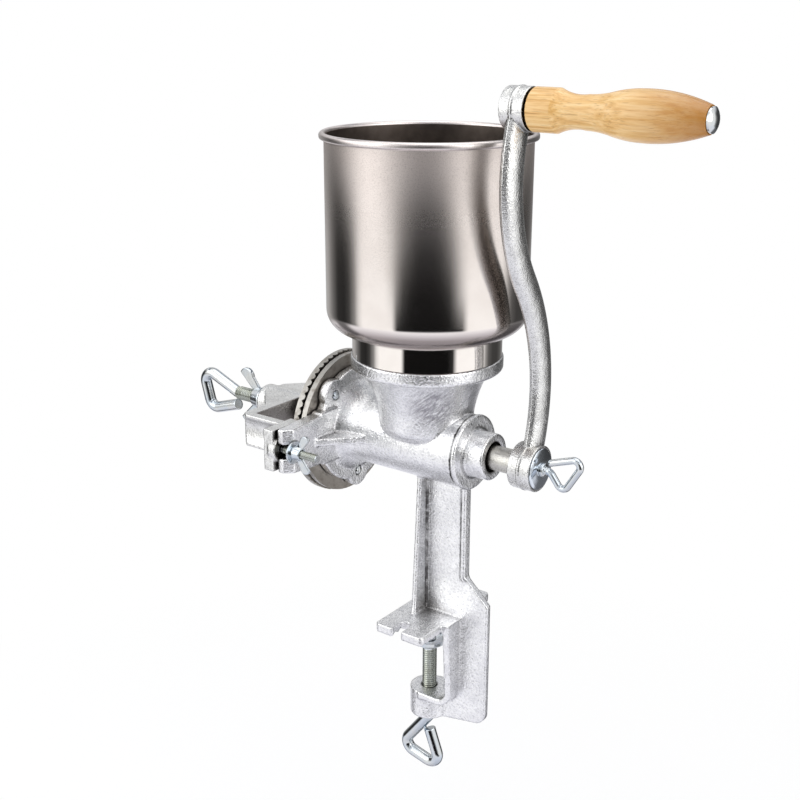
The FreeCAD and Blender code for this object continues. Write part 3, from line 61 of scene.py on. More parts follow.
# Painted shade lines in the creases down the leg's web, along its flange and its bead: place along the shaft, lower
# end, upper end, and how far they reach to either side of the web's middle.
WEB_SHADE_LINES = ((3.9 * MM, 4 * MM, 98 * MM, 5.5 * MM), (30.8 * MM, 40 * MM, 96 * MM, 4.4 * MM))


def link(thing):
    """A thing put into the scene."""
    bpy.context.scene.collection.objects.link(thing)
    return thing


def piece_of(name, bm):
    """The bmesh as a piece in the scene."""
    mesh = bpy.data.meshes.new(name)
    bm.to_mesh(mesh)
    bm.free()
    return link(bpy.data.objects.new(name, mesh))


def applied(piece):
    """The piece with its modifiers worked into its mesh."""
    bpy.context.view_layer.update()
    shaped = bpy.data.meshes.new_from_object(piece.evaluated_get(bpy.context.evaluated_depsgraph_get()))
    piece.modifiers.clear()
    piece.data = shaped
    shaped.materials.clear()
    return piece


def softened(node, name, voxel, rounds):
    """The node's solid with its edges rounded off: a skin of voxels, rubbed down in some rounds."""
    bm = bmesh.new()
    bm.from_mesh(frame["nodes"][node].data)
    bmesh.ops.remove_doubles(bm, verts=bm.verts, dist=0.002 * MM)
    piece = piece_of(name, bm)
    skin = piece.modifiers.new("skin", "REMESH")
    skin.mode = "VOXEL"
    skin.voxel_size = voxel
    skin.use_smooth_shade = True
    rub = piece.modifiers.new("rub", "SMOOTH")
    rub.factor = 0.5
    rub.iterations = rounds
    applied(piece)
    faces = 2 * len(piece.data.polygons)
    if faces > MOST_FACES:
        slim = piece.modifiers.new("slim", "DECIMATE")
        slim.ratio = MOST_FACES / faces
        applied(piece)
    for face in piece.data.polygons:
        face.use_smooth = True
    return piece


def tint(text):
    """An sRGB hex colour as the linear colour that a shader takes."""
    parts = [int(text[i:i + 2], 16) / 255 for i in (1, 3, 5)]
    return [c / 12.92 if c <= 0.04045 else ((c + 0.055) / 1.055) ** 2.4 for c in parts] + [1]


def add(tree, kind, inputs, out=0, stops=(), **settings):
    """A shader node with its settings, values and links; it gives the output to go on from, or the node for None.

    An input is a number, a vector, a hex colour, a socket to link from, or None, which leaves it alone.
    The stops are a colour ramp's, each a place and a grey value or a hex colour."""
    node = tree.nodes.new("ShaderNode" + kind)
    for key, value in settings.items():
        setattr(node, key, value)
    for key, value in inputs.items():
        if isinstance(value, bpy.types.NodeSocket):
            tree.links.new(value, node.inputs[key])
        elif value is not None:
            node.inputs[key].default_value = tint(value) if isinstance(value, str) else value
    if stops:
        points = node.color_ramp.elements
        while len(points) < len(stops):
            points.new(1)
        for point, (where, value) in zip(points, stops):
            point.position = where
            point.color = tint(value) if isinstance(value, str) else (value, value, value, 1)
    return node if out is None else node.outputs[out]


def new_material(name):
    """An empty material, its tree, and the piece's own coordinates in it."""
    material = bpy.data.materials.new(name)
    material.use_nodes = True
    tree = material.node_tree
    tree.nodes.clear()
    return material, tree, add(tree, "TexCoord", {}, "Object")


def finished(material, colour, layers, heights, sockets):
    """The material with its shader: layers over a colour, heights as bumps over each other, and other sockets.

    A layer is the factors that its share is the product of, and its colour; a height is a field and its depth."""
    tree = material.node_tree
    for (share, *factors), paint in layers:
        for factor in factors:
            share = add(tree, "Math", {0: share, 1: factor}, operation="MULTIPLY")
        colour = add(tree, "Mix", {"Factor": share, 6: colour, 7: paint}, 2, data_type="RGBA")
    normal = None
    for field, depth in heights:
        normal = add(tree, "Bump", {"Height": field, "Distance": depth, "Strength": 1.0, "Normal": normal})
    shader = add(tree, "BsdfPrincipled", {"Base Color": colour, "Normal": normal, **sockets})
    add(tree, "OutputMaterial", {"Surface": shader}, None)
    return material


def between(tree, value, low, high, soft):
    """1 where a value lies between two others and 0 where it doesn't, with soft ends."""
    away = add(tree, "Math", {0: value, 1: (low + high) / 2}, operation="SUBTRACT")
    away = add(tree, "Math", {0: away}, operation="ABSOLUTE")
    half = (high - low) / 2
    return add(tree, "MapRange", {"Value": away, "From Min": half + soft, "From Max": half - soft})


def unsteady_line(tree, place, along, half, lump, swing):
    """A line across the shaft that wanders to either side, for a painted shade line along the casting's corners."""
    x = add(tree, "SeparateXYZ", {"Vector": place}, "X")
    wander = add(tree, "TexNoise", {"Vector": place, "Scale": 1 / lump})
    shifted = add(tree, "Math", {0: wander, 1: swing, 2: x}, operation="MULTIPLY_ADD")
    middle = along + swing / 2
    return between(tree, shifted, middle - half, middle + half, 0.25 * MM)


def tinned(name, bright, dull, grain, depth, rough, sheltered=0.62, collar=None, streak_patch=None, ring_shade_lines=(),
           web_shade_lines=(), inside=None):
    """Hot-tinned cast iron: a bright, nearly white metal over sand grain, with painted shade: grey in hollows, black
    in corners.

    Foundry sand is about 0.3 mm, which is too fine to show, so the grain is drawn at 0.9 to 1.4 mm. The places
    that are less open than sheltered get a brown painted shade. The other options paint shade lines along corners
    and shade on an inside, or add marks that only some castings have: a turned collar and a darker streaky patch."""
    material, tree, place = new_material(name)
    x, y, z = add(tree, "SeparateXYZ", {"Vector": place}, None).outputs
    lumps, sand, fines, cloud, specks = [
        add(tree, "TexNoise", {"Vector": place, "Scale": 1 / size, "Detail": detail, "Roughness": harsh})
        for size, detail, harsh in ((7 * MM, 3, 0.5), (grain, 2, 0.55), (0.45 * grain, 2, 0.6), (14 * MM, 3, 0.5),
                                    (1.2 * grain, 1, 0.5))]
    pits = add(tree, "ValToRGB", {"Fac": specks}, stops=[(0.0, 0.0), (0.75, 0.0), (0.79, 1.0)])
    # Occlusion at three reaches, for the painted shade layers below.
    crease_shade, corner_shade, cavity_shade = [add(tree, "AmbientOcclusion", {"Distance": reach}, "AO", samples=8)
                              for reach in (2.1 * MM, 4 * MM, 22 * MM)]
    sharp = add(tree, "NewGeometry", {}, "Pointiness")
    edge = add(tree, "MapRange", {"Value": sharp, "From Min": 0.515, "From Max": 0.56})
    hollow_shade = add(tree, "MapRange", {"Value": sharp, "From Min": 0.48, "From Max": 0.43})
    layers = [
        ([add(tree, "MapRange", {"Value": cloud, "From Min": 0.42, "From Max": 0.75, "To Max": 0.35})], dull),
        ([add(tree, "MapRange", {"Value": sand, "From Min": 0.50, "From Max": 0.30, "To Max": 0.5})], dull),
        # Rubbed bright tin on convex edges, partly a painted highlight along them.
        ([edge, 0.6], bright),
        ([pits, 0.55], "#4A4744"),
        # Painted shade in concave places.
        ([hollow_shade, 0.6], "#6C6965"),
        # Painted shade from occlusion: brown in sheltered places, darker in corners, black in creases.
        ([add(tree, "ValToRGB", {"Fac": cavity_shade},
              stops=[(sheltered - 0.42, 0.8), (sheltered - 0.22, 0.5), (sheltered, 0.0)])], "#4F4740"),
        ([add(tree, "ValToRGB", {"Fac": corner_shade}, stops=[(0.20, 0.9), (0.42, 0.45), (0.8, 0.0)])], "#3A3533"),
        ([add(tree, "ValToRGB", {"Fac": crease_shade}, stops=[(0.46, 0.95), (0.68, 0.6), (0.88, 0.0)])], "#1E1A19")]
    # Painted shade: dark wandering lines in the rear ring's corners, broken up by noise.
    for along, reach, strength in ring_shade_lines:
        level = add(tree, "Math", {0: z, 1: AXIS_HEIGHT}, operation="SUBTRACT")
        spoke = add(tree, "CombineXYZ", {"Y": y, "Z": level})
        radius = add(tree, "VectorMath", {0: spoke}, "Value", operation="LENGTH")
        patchy = add(tree, "TexNoise", {"Vector": place, "Scale": 1 / (12 * MM), "Detail": 3})
        broken = add(tree, "MapRange", {"Value": patchy, "From Min": 0.38, "From Max": 0.54,
                                        "To Min": 0.25 * strength, "To Max": strength})
        layers.append(([unsteady_line(tree, place, along, 0.75 * MM, 2.2 * MM, 1.4 * MM),
                        between(tree, radius, -reach, reach, 0.4 * MM), broken], "#1B1817"))
    # Painted shade: dark broken lines in the creases of the leg's web.
    for along, low, high, deep in web_shade_lines:
        patchy = add(tree, "TexNoise", {"Vector": place, "Scale": 1 / (6 * MM), "Detail": 3})
        broken = add(tree, "MapRange", {"Value": patchy, "From Min": 0.34, "From Max": 0.52, "To Min": 0.3,
                                        "To Max": 0.85})
        layers.append(([unsteady_line(tree, place, along, 0.65 * MM, 3 * MM, 1.0 * MM),
                        between(tree, z, low + 3 * MM, high - 3 * MM, 3 * MM),
                        between(tree, y, 0.3 * MM - deep, deep - 0.3 * MM, 0.3 * MM), broken], "#2A2625"))
    # Painted shade: the inside of the yoke's U is coloured darker.
    if inside:
        back, reach = inside
        before = add(tree, "MapRange", {"Value": x, "From Min": back - 0.8 * MM, "From Max": back + 0.2 * MM})
        layers.append(([before, between(tree, y, -reach - 0.3 * MM, reach + 0.3 * MM, 0.5 * MM), 0.85], "#776D65"))
    roughness = add(tree, "MapRange", {"Value": sand, "From Min": 0.3, "From Max": 0.7, "To Min": rough + 0.08,
                                       "To Max": rough - 0.06})
    roughness = add(tree, "Math", {0: edge, 1: -0.10, 2: roughness}, operation="MULTIPLY_ADD")
    if collar:
        band = between(tree, z, *collar, 0.5 * MM)
        roughness = add(tree, "Mix", {0: band, 2: roughness, 3: 0.13})
        chatter = add(tree, "TexNoise", {"Vector": place, "Scale": 1 / (0.8 * MM), "Roughness": 0.6})
        chatter = add(tree, "Math", {0: chatter, 1: 5.0}, operation="MULTIPLY")
        fines = add(tree, "Math", {0: band, 1: chatter, 2: fines}, operation="MULTIPLY_ADD")
    # A darker grey patch of streaks, with the lumps flattened under it.
    if streak_patch:
        middle, reach = streak_patch
        leaning = add(tree, "VectorRotate", {"Vector": place, "Angle": math.radians(38)}, rotation_type="Y_AXIS")
        run_out = add(tree, "Mapping", {"Vector": leaning, "Scale": [1 / (size * MM) for size in (6.6, 2.2, 1.1)]})
        streaks = add(tree, "TexNoise", {"Vector": run_out, "Scale": 1.0, "Detail": 3, "Roughness": 0.6})
        near = add(tree, "VectorMath", {0: place, 1: middle}, "Value", operation="DISTANCE")
        patch = add(tree, "MapRange", {"Value": near, "From Min": reach, "From Max": 0.45 * reach})
        streaky = add(tree, "MapRange", {"Value": streaks, "From Min": 0.38, "From Max": 0.60, "To Min": 0.15,
                                         "To Max": 0.85})
        marks = add(tree, "Math", {0: patch, 1: streaky}, operation="MULTIPLY")
        layers.append(([marks], "#96939A"))
        lumps = add(tree, "Math", {0: marks, 1: -0.5, 2: lumps}, operation="MULTIPLY_ADD")
    return finished(material, bright, layers,
                    [(lumps, 0.45 * MM), (sand, depth), (fines, 0.12 * depth), (pits, -0.10 * MM)],
                    {"Metallic": 1.0, "Roughness": roughness})


tinned_casting = tinned("tinned_cast_iron", "#FDFDFD", "#BBBBC1", 1.4 * MM, 0.35 * MM, 0.29, collar=COLLAR,
                        streak_patch=STREAK_PATCH, ring_shade_lines=RING_SHADE_LINES, web_shade_lines=WEB_SHADE_LINES)
body = softened("body_casting", "body_shell", 0.75 * MM, 3)
body.data.materials.append(tinned_casting)
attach(body, "frame")
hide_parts("body_casting")


# ---------------------------------------------------------------- yoke
# A U of the same tinned iron round the burrs, with the adjusting screw's boss behind.
# Its inside is painted browner and darker, as painted shade.
YOKE_SHADED_INSIDE = (-105 * MM, 50.5 * MM)        # the back's inner face along the shaft, and half the width inside
yoke = softened("yoke", "yoke_shell", 0.6 * MM, 3)
# A high sheltered value spreads the brown painted shade over more of it.
yoke.data.materials.append(tinned("tinned_cast_iron_yoke", "#F6F6F4", "#B2B0AE", 1.4 * MM, 0.28 * MM, 0.31,
                                  sheltered=0.92, inside=YOKE_SHADED_INSIDE))
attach(yoke, "frame")
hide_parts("yoke")


# ---------------------------------------------------------------- burr carrier
# A disc and hub of the same tinned iron behind the turning burr.
# It sits on the feed screw's square tang, held by a pin, and takes the burr round with it.
def dress(node, material):
    """A CAD node that shows as it is, in its own material."""
    slots = frame["nodes"][node].data.materials
    slots.clear()
    slots.append(material)


dress("burr_carrier", tinned_casting)


# ---------------------------------------------------------------- burrs
# Two toothed rings of hard cast iron, one riveted to the body's flange and one on the carrier.
# They are pale where they are ground at the rim, and brown-grey on the cast faces.
def burr_metal(name):
    """Hard cast iron, ground on its rim and stained by meal and oil, with painted shade in between its teeth."""
    material, tree, place = new_material(name)
    facing = add(tree, "SeparateXYZ", {"Vector": add(tree, "TexCoord", {}, "Normal")}, "X")
    sideways = add(tree, "Math", {0: facing}, operation="ABSOLUTE")
    sand = add(tree, "TexNoise", {"Vector": place, "Scale": 1 / (0.8 * MM), "Detail": 3})
    stain = add(tree, "TexNoise", {"Vector": place, "Scale": 1 / (5 * MM), "Detail": 4, "Roughness": 0.6})
    corner_shade = add(tree, "AmbientOcclusion", {"Distance": 3 * MM}, "AO", samples=8)
    layers = [
        ([add(tree, "MapRange", {"Value": sideways, "From Min": 0.2, "From Max": 0.8})], "#B0AAA1"),
        ([add(tree, "MapRange", {"Value": stain, "From Min": 0.50, "From Max": 0.68, "To Max": 0.6})], "#8A8176"),
        # Painted shade in between the teeth.
        ([add(tree, "MapRange", {"Value": corner_shade, "From Min": 0.5, "From Max": 0.15})], "#221E1B")]
    rough = add(tree, "MapRange", {"Value": stain, "From Min": 0.35, "From Max": 0.65, "To Min": 0.32,
                                   "To Max": 0.50})
    return finished(material, "#B9B6B0", layers, [(stain, 0.10 * MM), (sand, 0.09 * MM)],
                    {"Metallic": 1.0, "Roughness": rough})


burr_iron = burr_metal("ground_burr_iron")
for node in ("fixed_burr", "rotary_burr"):
    dress(node, burr_iron)


# ---------------------------------------------------------------- feed screw
# Shaft and flight in one casting of the same tinned iron, with the crank on its flatted end.
# It is skimmed in the lathe at its two bearings, which leaves a finer grain and a duller grey.
dress("feed_screw", tinned("turned_tinned_iron", "#D0CEC8", "#94908A", 0.9 * MM, 0.13 * MM, 0.38))


# ---------------------------------------------------------------- zinc-plated fasteners
# Mild steel with a bright blue-white zinc plate: rivets, bolts, washers, wing nuts and the bent-wire screws.
# Wire and pressed wings have small round edges.
def plated(name, colour, other, rough, ripple):
    """Zinc plate, or smooth drawn sheet: mirror-like, clouded by a second colour, duller where it is handled, and
    with painted shade in corners.
    """
    material, tree, place = new_material(name)
    cloud = add(tree, "TexNoise", {"Vector": place, "Scale": 1 / (9 * MM), "Detail": 3})
    handled = add(tree, "TexNoise", {"Vector": place, "Scale": 1 / (1.6 * MM), "Detail": 3, "Roughness": 0.6})
    wave = add(tree, "TexNoise", {"Vector": place, "Scale": 1 / (2.5 * MM)})
    corner_shade = add(tree, "AmbientOcclusion", {"Distance": 2 * MM}, "AO", samples=8)
    layers = [([add(tree, "MapRange", {"Value": cloud, "From Min": 0.38, "From Max": 0.62})], other),
              # Painted shade in corners.
              ([add(tree, "MapRange", {"Value": corner_shade, "From Min": 0.5, "From Max": 0.1})], "#3A3C3E")]
    roughness = add(tree, "MapRange", {"Value": handled, "From Min": 0.35, "From Max": 0.68, "To Min": rough,
                                       "To Max": rough + 0.12})
    return finished(material, colour, layers, [(wave, ripple)], {"Metallic": 1.0, "Roughness": roughness})


def body_of(node):
    """The body that a CAD node moves with."""
    bodies = frame["record"]["behaviour"]["bodies"]
    return [body for body, group in bodies.items() if node in group][0]


zinc = plated("bright_zinc_plate", "#CCD4DB", "#D8DAD9", 0.07, 0.05 * MM)
for node in ("burr_rivet_bottom", "burr_rivet_near", "burr_rivet_far", "drive_pin", "yoke_bolt_near",
             "yoke_bolt_far", "handle_spindle", "clamp_pad", "thrust_ball"):
    dress(node, zinc)

for node, voxel in (("yoke_washer_near", 0.3), ("yoke_washer_far", 0.3), ("yoke_wing_nut_near", 0.3),
                    ("yoke_wing_nut_far", 0.3), ("lock_washer", 0.35), ("lock_wing_nut", 0.4),
                    ("crank_thumbscrew", 0.35), ("adjusting_screw", 0.5), ("clamp_screw", 0.5)):
    part = softened(node, node + "_plated", voxel * MM, 2)
    part.data.materials.append(zinc)
    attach(part, body_of(node))
    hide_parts(node)


# ---------------------------------------------------------------- screw threads
# Rolled right-hand threads that stand on the screws' shanks: oily grey zinc, with the light along each crest.
# Each size is the shank's radius, the pitch, and how far the crest stands over the shank.
CLAMP_SIZE = (4.7 * MM, 1.5875 * MM, 0.32 * MM)
THUMB_SIZE = (3.0 * MM, 1.0 * MM, 0.2 * MM)
BOLT_SIZE = (2.5 * MM, 0.8 * MM, 0.16 * MM)
STEPS_A_TURN = 28
ALONG = Vector((1, 0, 0))
UP = Vector((0, 0, 1))
SHAFT_LINE = Vector((0, 0, AXIS_HEIGHT))
CLAMP_LINE = Vector((4.6 * MM, 0, 0))
BOLT_OFFSET = Vector((0, 70 * MM, 0))
oiled_zinc = plated("oiled_zinc_thread", "#B9BDB4", "#A6A99D", 0.22, 0.02 * MM)


def wire(foot, axis, points):
    """A bmesh with one closed wire of points, each a distance out from an axis and a place along it."""
    bm = bmesh.new()
    across = ALONG if axis.z else UP
    verts = [bm.verts.new(foot + across * out + axis * along) for out, along in points]
    for index in range(len(verts)):
        bm.edges.new((verts[index], verts[(index + 1) % len(verts)]))
    return bm, verts


def thread(name, node, size, line, axis, first, last):
    """A helical ridge round a shank, from its first to its last millimetre on a line, closed at both ends."""
    radius, pitch, crest = size
    start = line + axis * first * MM
    end = line + axis * last * MM
    half = 0.46 * pitch
    flat = 0.07 * pitch
    bm, _ = wire(start, axis, ((radius - crest, -half), (radius, -half), (radius + crest, -flat),
                               (radius + crest, flat), (radius, half), (radius - crest, half)))
    turns = (end - start).length / pitch
    steps = int(turns * STEPS_A_TURN)
    bmesh.ops.spin(bm, geom=bm.verts[:] + bm.edges[:], cent=start, axis=axis,
                   dvec=(end - start) / steps, angle=math.tau * turns, steps=steps)
    bmesh.ops.holes_fill(bm, edges=[edge for edge in bm.edges if edge.is_boundary], sides=0)
    bmesh.ops.recalc_face_normals(bm, faces=bm.faces)
    piece = piece_of(name, bm)
    piece.data.materials.append(oiled_zinc)
    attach(piece, body_of(node))


thread("clamp_thread", "clamp_screw", CLAMP_SIZE, CLAMP_LINE, UP, -75.5, -26)
thread("adjusting_thread", "adjusting_screw", CLAMP_SIZE, SHAFT_LINE, ALONG, -170, -100.5)
thread("thumbscrew_thread", "crank_thumbscrew", THUMB_SIZE, SHAFT_LINE, ALONG, 76, 88)
thread("yoke_bolt_near_thread", "yoke_bolt_near", BOLT_SIZE, SHAFT_LINE - BOLT_OFFSET, ALONG, -62, -35)
thread("yoke_bolt_far_thread", "yoke_bolt_far", BOLT_SIZE, SHAFT_LINE + BOLT_OFFSET, ALONG, -62, -35)


# ---------------------------------------------------------------- hopper
# Spun from thin stainless sheet: a rolled rim, a satin wall that gets brighter towards the bowl, and a neck.
# Its inside is the rougher drawn sheet, painted a darker grey-brown as painted shade.
SHEET = 0.8 * MM
WALL = 64.5 * MM                            # outer radii of the wall and the neck
NECK = 48.3 * MM
NECK_FOOT = AXIS_HEIGHT + 60.4 * MM         # heights of the neck's foot, the bowl's foot and the rim
BOWL_FOOT = AXIS_HEIGHT + 76.5 * MM
RIM = AXIS_HEIGHT + 200.9 * MM
BEAD = 2.2 * MM                             # half the height of the rolled rim
BOWL_ROUND = 16.0 * MM
HOPPER_SIDES = 192
INWARD = -0.3                               # how far a face leans to the axis on the inside


def lathe(name, foot, axis, profile, steps):
    """A closed wire spun into a skin; its points are (radius, place along the axis, rounding)."""
    bm, verts = wire(foot, axis, [(radius, along) for radius, along, _ in profile])
    for vert, (_, _, rounding) in zip(verts, profile):
        if rounding:
            bmesh.ops.bevel(bm, geom=[vert], offset=rounding, offset_type="OFFSET", segments=10, profile=0.5,
                            affect="VERTICES", material=-1)
    bmesh.ops.spin(bm, geom=bm.verts[:] + bm.edges[:], cent=foot, axis=axis, angle=math.tau, steps=steps,
                   use_merge=True)
    bmesh.ops.remove_doubles(bm, verts=bm.verts, dist=0.001 * MM)
    bmesh.ops.recalc_face_normals(bm, faces=bm.faces)
    for face in bm.faces:
        face.smooth = True
    for edge in bm.edges:
        edge.smooth = edge.calc_face_angle(0) < math.radians(30)
    return piece_of(name, bm)


def spun_steel(name):
    """Stainless sheet: mirror-bright at the neck, hazed by the polishing belt towards the rim.

    A belt's scratches are about 0.05 mm apart; their specks are drawn at 0.55 mm, so that they show."""
    material, tree, place = new_material(name)
    level = add(tree, "SeparateXYZ", {"Vector": place}, "Z")
    height = add(tree, "MapRange", {"Value": level, "From Min": NECK_FOOT, "From Max": RIM})
    haze = add(tree, "ValToRGB", {"Fac": height}, stops=[
        (0.0, 0.05), (0.10, 0.06), (0.125, 0.24), (0.17, 0.20), (0.215, 0.09), (0.36, 0.12), (0.53, 0.18),
        (0.70, 0.27), (0.87, 0.39), (0.96, 0.44), (0.975, 0.30)])
    # Painted shade: the colour darkens over the bowl's underside, and most in a line where it meets the neck.
    colour = add(tree, "ValToRGB", {"Fac": height}, stops=[
        (0.0, "#F7F1EC"), (0.10, "#F7F1EC"), (0.113, "#8A7F7B"), (0.125, "#968C89"), (0.175, "#ACA29E"),
        (0.215, "#F3ECE7"), (0.96, "#E6DCD6"), (0.975, "#EAE2DF")])
    speck = add(tree, "TexNoise", {"Vector": place, "Scale": 1 / (0.55 * MM), "Detail": 1})
    cloud = add(tree, "TexNoise", {"Vector": place, "Scale": 1 / (22 * MM), "Detail": 3})
    satin = add(tree, "MapRange", {"Value": height, "From Min": 0.25, "From Max": 0.8})
    layers = [
        ([add(tree, "MapRange", {"Value": cloud, "From Min": 0.4, "From Max": 0.7, "To Max": 0.18})], "#C9BCB4"),
        ([satin, add(tree, "MapRange", {"Value": speck, "From Min": 0.48, "From Max": 0.66, "To Max": 0.30})],
         "#9A8F88")]
    scratch = add(tree, "MapRange", {"Value": speck, "From Min": 0.35, "From Max": 0.70, "To Min": -0.02,
                                     "To Max": 0.04})
    rough = add(tree, "Math", {0: satin, 1: scratch, 2: haze}, operation="MULTIPLY_ADD")
    return finished(material, colour, layers, [], {"Metallic": 1.0, "Roughness": rough})


hopper = lathe("hopper_spinning", Vector((0, 0, 0)), UP, [
    (NECK, NECK_FOOT, 0),
    (NECK, BOWL_FOOT - 2 * MM, 0),
    (NECK, BOWL_FOOT, 1.2 * MM),
    (NECK + 1.5 * MM, BOWL_FOOT + 0.04 * MM, 0),
    (WALL, BOWL_FOOT, BOWL_ROUND - 1.3 * MM),
    (WALL, BOWL_FOOT + BOWL_ROUND, 0),
    (WALL, RIM - 2 * BEAD - 1.2 * MM, 0),
    (WALL, RIM - 2 * BEAD, 0.5 * MM),
    (WALL + 0.8 * MM, RIM - 2 * BEAD + 0.1 * MM, 0.2 * MM),
    (WALL + 3.0 * MM, RIM - 2 * BEAD, 1.5 * MM),
    (WALL + 3.0 * MM, RIM, 2.1 * MM),
    (WALL - SHEET, RIM, 2.1 * MM),
    (WALL - SHEET, RIM - 3 * BEAD, 0),
    (WALL - SHEET, BOWL_FOOT + BOWL_ROUND, 0),
    (WALL - SHEET, BOWL_FOOT + SHEET, BOWL_ROUND - 1.5 * MM),
    (NECK - SHEET, BOWL_FOOT + SHEET, 0.6 * MM),
    (NECK - SHEET, NECK_FOOT, 0),
], HOPPER_SIDES)
hopper.data.materials.append(spun_steel("satin_stainless"))
# The inside's dark grey-brown colour is painted shade; its higher roughness is the drawn sheet's own.
hopper.data.materials.append(plated("shaded_drawn_stainless_inside", "#6C625B", "#5F5650", 0.38, 0.02 * MM))
for face in hopper.data.polygons:
    middle = face.center
    radius = math.hypot(middle.x, middle.y)
    outward = (face.normal.x * middle.x + face.normal.y * middle.y) / radius
    if outward < INWARD and middle.z < RIM - 1.5 * BEAD:
        face.material_index = 1
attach(hopper, "hopper")
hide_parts("hopper")


# ---------------------------------------------------------------- crank washer
# A domed washer of mild steel, pressed from sheet and polished before it was plated.
# The thumbscrew holds it against the crank's hub.
HUB_FACE = 86.7 * MM                        # the crank hub's outer face along the shaft
WASHER_BORE = 3.3 * MM
WASHER_EDGE = 13.2 * MM
WASHER_DOME = 1.8 * MM
WASHER_SIDES = 96
washer = lathe("crank_washer_dome", SHAFT_LINE, ALONG, [
    (WASHER_BORE, HUB_FACE + 0.02 * MM, 0),
    (WASHER_EDGE, HUB_FACE + 0.02 * MM, 0.2 * MM),
    (WASHER_EDGE, HUB_FACE + 0.7 * MM, 0.5 * MM),
    (11.9 * MM, HUB_FACE + 1.15 * MM, 0.8 * MM),
    (6.0 * MM, HUB_FACE + WASHER_DOME, 2.2 * MM),
    (WASHER_BORE, HUB_FACE + WASHER_DOME, 0.2 * MM),
], WASHER_SIDES)
washer.data.materials.append(plated("polished_zinc_plate", "#E6ECF4", "#DDE5EC", 0.05, 0.02 * MM))
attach(washer, "crank_washer")
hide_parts("crank_washer")


# ---------------------------------------------------------------- crank arm
# An S-shaped arm with a hub and an eye, in the same tinned iron, cast in a mould of two halves.
# Its grain is smaller and sharper than the body's, and the mould's parting line stays along its edge.
crank = softened("crank_arm", "crank_shell", 0.42 * MM, 1)
# A high sheltered value spreads the brown painted shade over more of its hollows.
crank.data.materials.append(tinned("coarse_tinned_cast_iron", "#F1F1EF", "#8F8D8B", 1.0 * MM, 0.27 * MM, 0.26,
                                   sheltered=0.92))
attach(crank, "rotor")
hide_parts("crank_arm")


# ---------------------------------------------------------------- handle
# A grip turned from beech, with the grain along it, which spins on a steel rod in the crank's eye.
# Clear varnish covers it, of a darker amber towards its outer end.
def varnished_wood(name, near_end, far_end):
    """Beech under a clear coat: pale bands of grain with short dark pores, and a soft gloss over them.

    Beech has pores of 0.06 mm, which are drawn at 0.6 mm, so that they show."""
    material, tree, place = new_material(name)
    drawn_out = [add(tree, "Mapping", {"Vector": place, "Scale": (1 / run, 1 / wide, 1 / wide)})
                 for run, wide in ((30.8 * MM, 2.2 * MM), (10.8 * MM, 0.6 * MM))]
    grain, pores = [
        add(tree, "TexNoise", {"Vector": stretched, "Scale": 1.0, "Detail": detail, "Roughness": harsh})
        for stretched, detail, harsh in zip(drawn_out, (4, 2), (0.6, 0.5))]
    colour = add(tree, "ValToRGB", {"Fac": grain},
                 stops=[(0.3, "#F6D59E"), (0.5, "#EBC07E"), (0.62, "#DDAB63"), (0.78, "#C8914C")])
    along = add(tree, "SeparateXYZ", {"Vector": place}, "X")
    amber_from = near_end + 0.55 * (far_end - near_end)
    layers = [
        ([add(tree, "MapRange", {"Value": pores, "From Min": 0.56, "From Max": 0.70, "To Max": 0.5})], "#A8743A"),
        ([add(tree, "MapRange", {"Value": along, "From Min": amber_from, "From Max": far_end, "To Max": 0.9})],
         "#A86E26")]
    return finished(material, colour, layers, [(pores, 0.03 * MM)],
                    {"Roughness": 0.38, "Coat Weight": 0.35, "Coat Roughness": 0.15})


grip_low, grip_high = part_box("handle_grip")
dress("handle_grip", varnished_wood("varnished_beech", grip_low.x, grip_high.x))


# ---------------------------------------------------------------- studio
# A white room with darker gaps between its soft boxes, which the metal shows, over a pale floor.
# Three broad lamps light it, and the camera and transmitted rays see plain white.
CAMERA_PLACE = (0.43748, -0.61545, 0.40372)
CAMERA_LENS = 54.645                        # mm, for an image 36 mm wide
CAMERA_TURN = math.radians(36.763)
CAMERA_TILT = math.radians(71.759)
CAMERA_ROLL = math.radians(-0.1)
FLOOR = -300 * MM                           # far enough down for the crank to turn over it
MIDDLE = Vector((0, 0, 0.12))               # what the lamps point at
WHITE = (1, 1, 1, 1)
# Each lamp's place and size in metres, and its watts.
LAMPS = (("left_box", (-0.9, -1.1, 0.9), 1.6, 9), ("right_box", (1.5, -0.2, 0.8), 1.4, 8),
         ("top_box", (0.1, 0.1, 1.7), 1.6, 6))

# The room's brightness at places round it, in degrees from the side where the camera stands, first to its left.
# The gaps are for three heights, and the last row darkens what lies below.
LEFT = [(-180, 0.50), (-150, 0.38), (-135, 0.16), (-122, 0.03), (-108, 0.02), (-99, 0.05), (-90, 0.25),
        (-84, 0.75), (-78, 1.0)]
RIGHT = [(88, 1.0), (94, 0.70), (99, 0.30), (106, 0.10), (117, 0.05), (132, 0.05), (146, 0.10), (165, 0.30),
         (180, 0.50)]
LOW_GAP = [(-41, 1.0), (-36, 0.006), (30, 0.005), (38, 0.03), (45, 1.0)]
MIDDLE_GAP = [(-49, 1.0), (-39, 0.50), (-29, 0.06), (-20, 0.005), (16, 0.005), (23, 0.03), (29, 0.28), (38, 1.0)]
HIGH_GAP = [(-54, 1.0), (-39, 0.62), (-24, 0.20), (-12, 0.01), (5, 0.005), (13, 0.05), (23, 0.32), (37, 1.0)]
BELOW = [(-180, 1.0), (-140, 1.0), (-128, 0.2), (-112, 0.2), (-100, 1.0), (100, 1.0), (110, 0.15), (146, 0.15),
         (160, 1.0), (180, 1.0)]

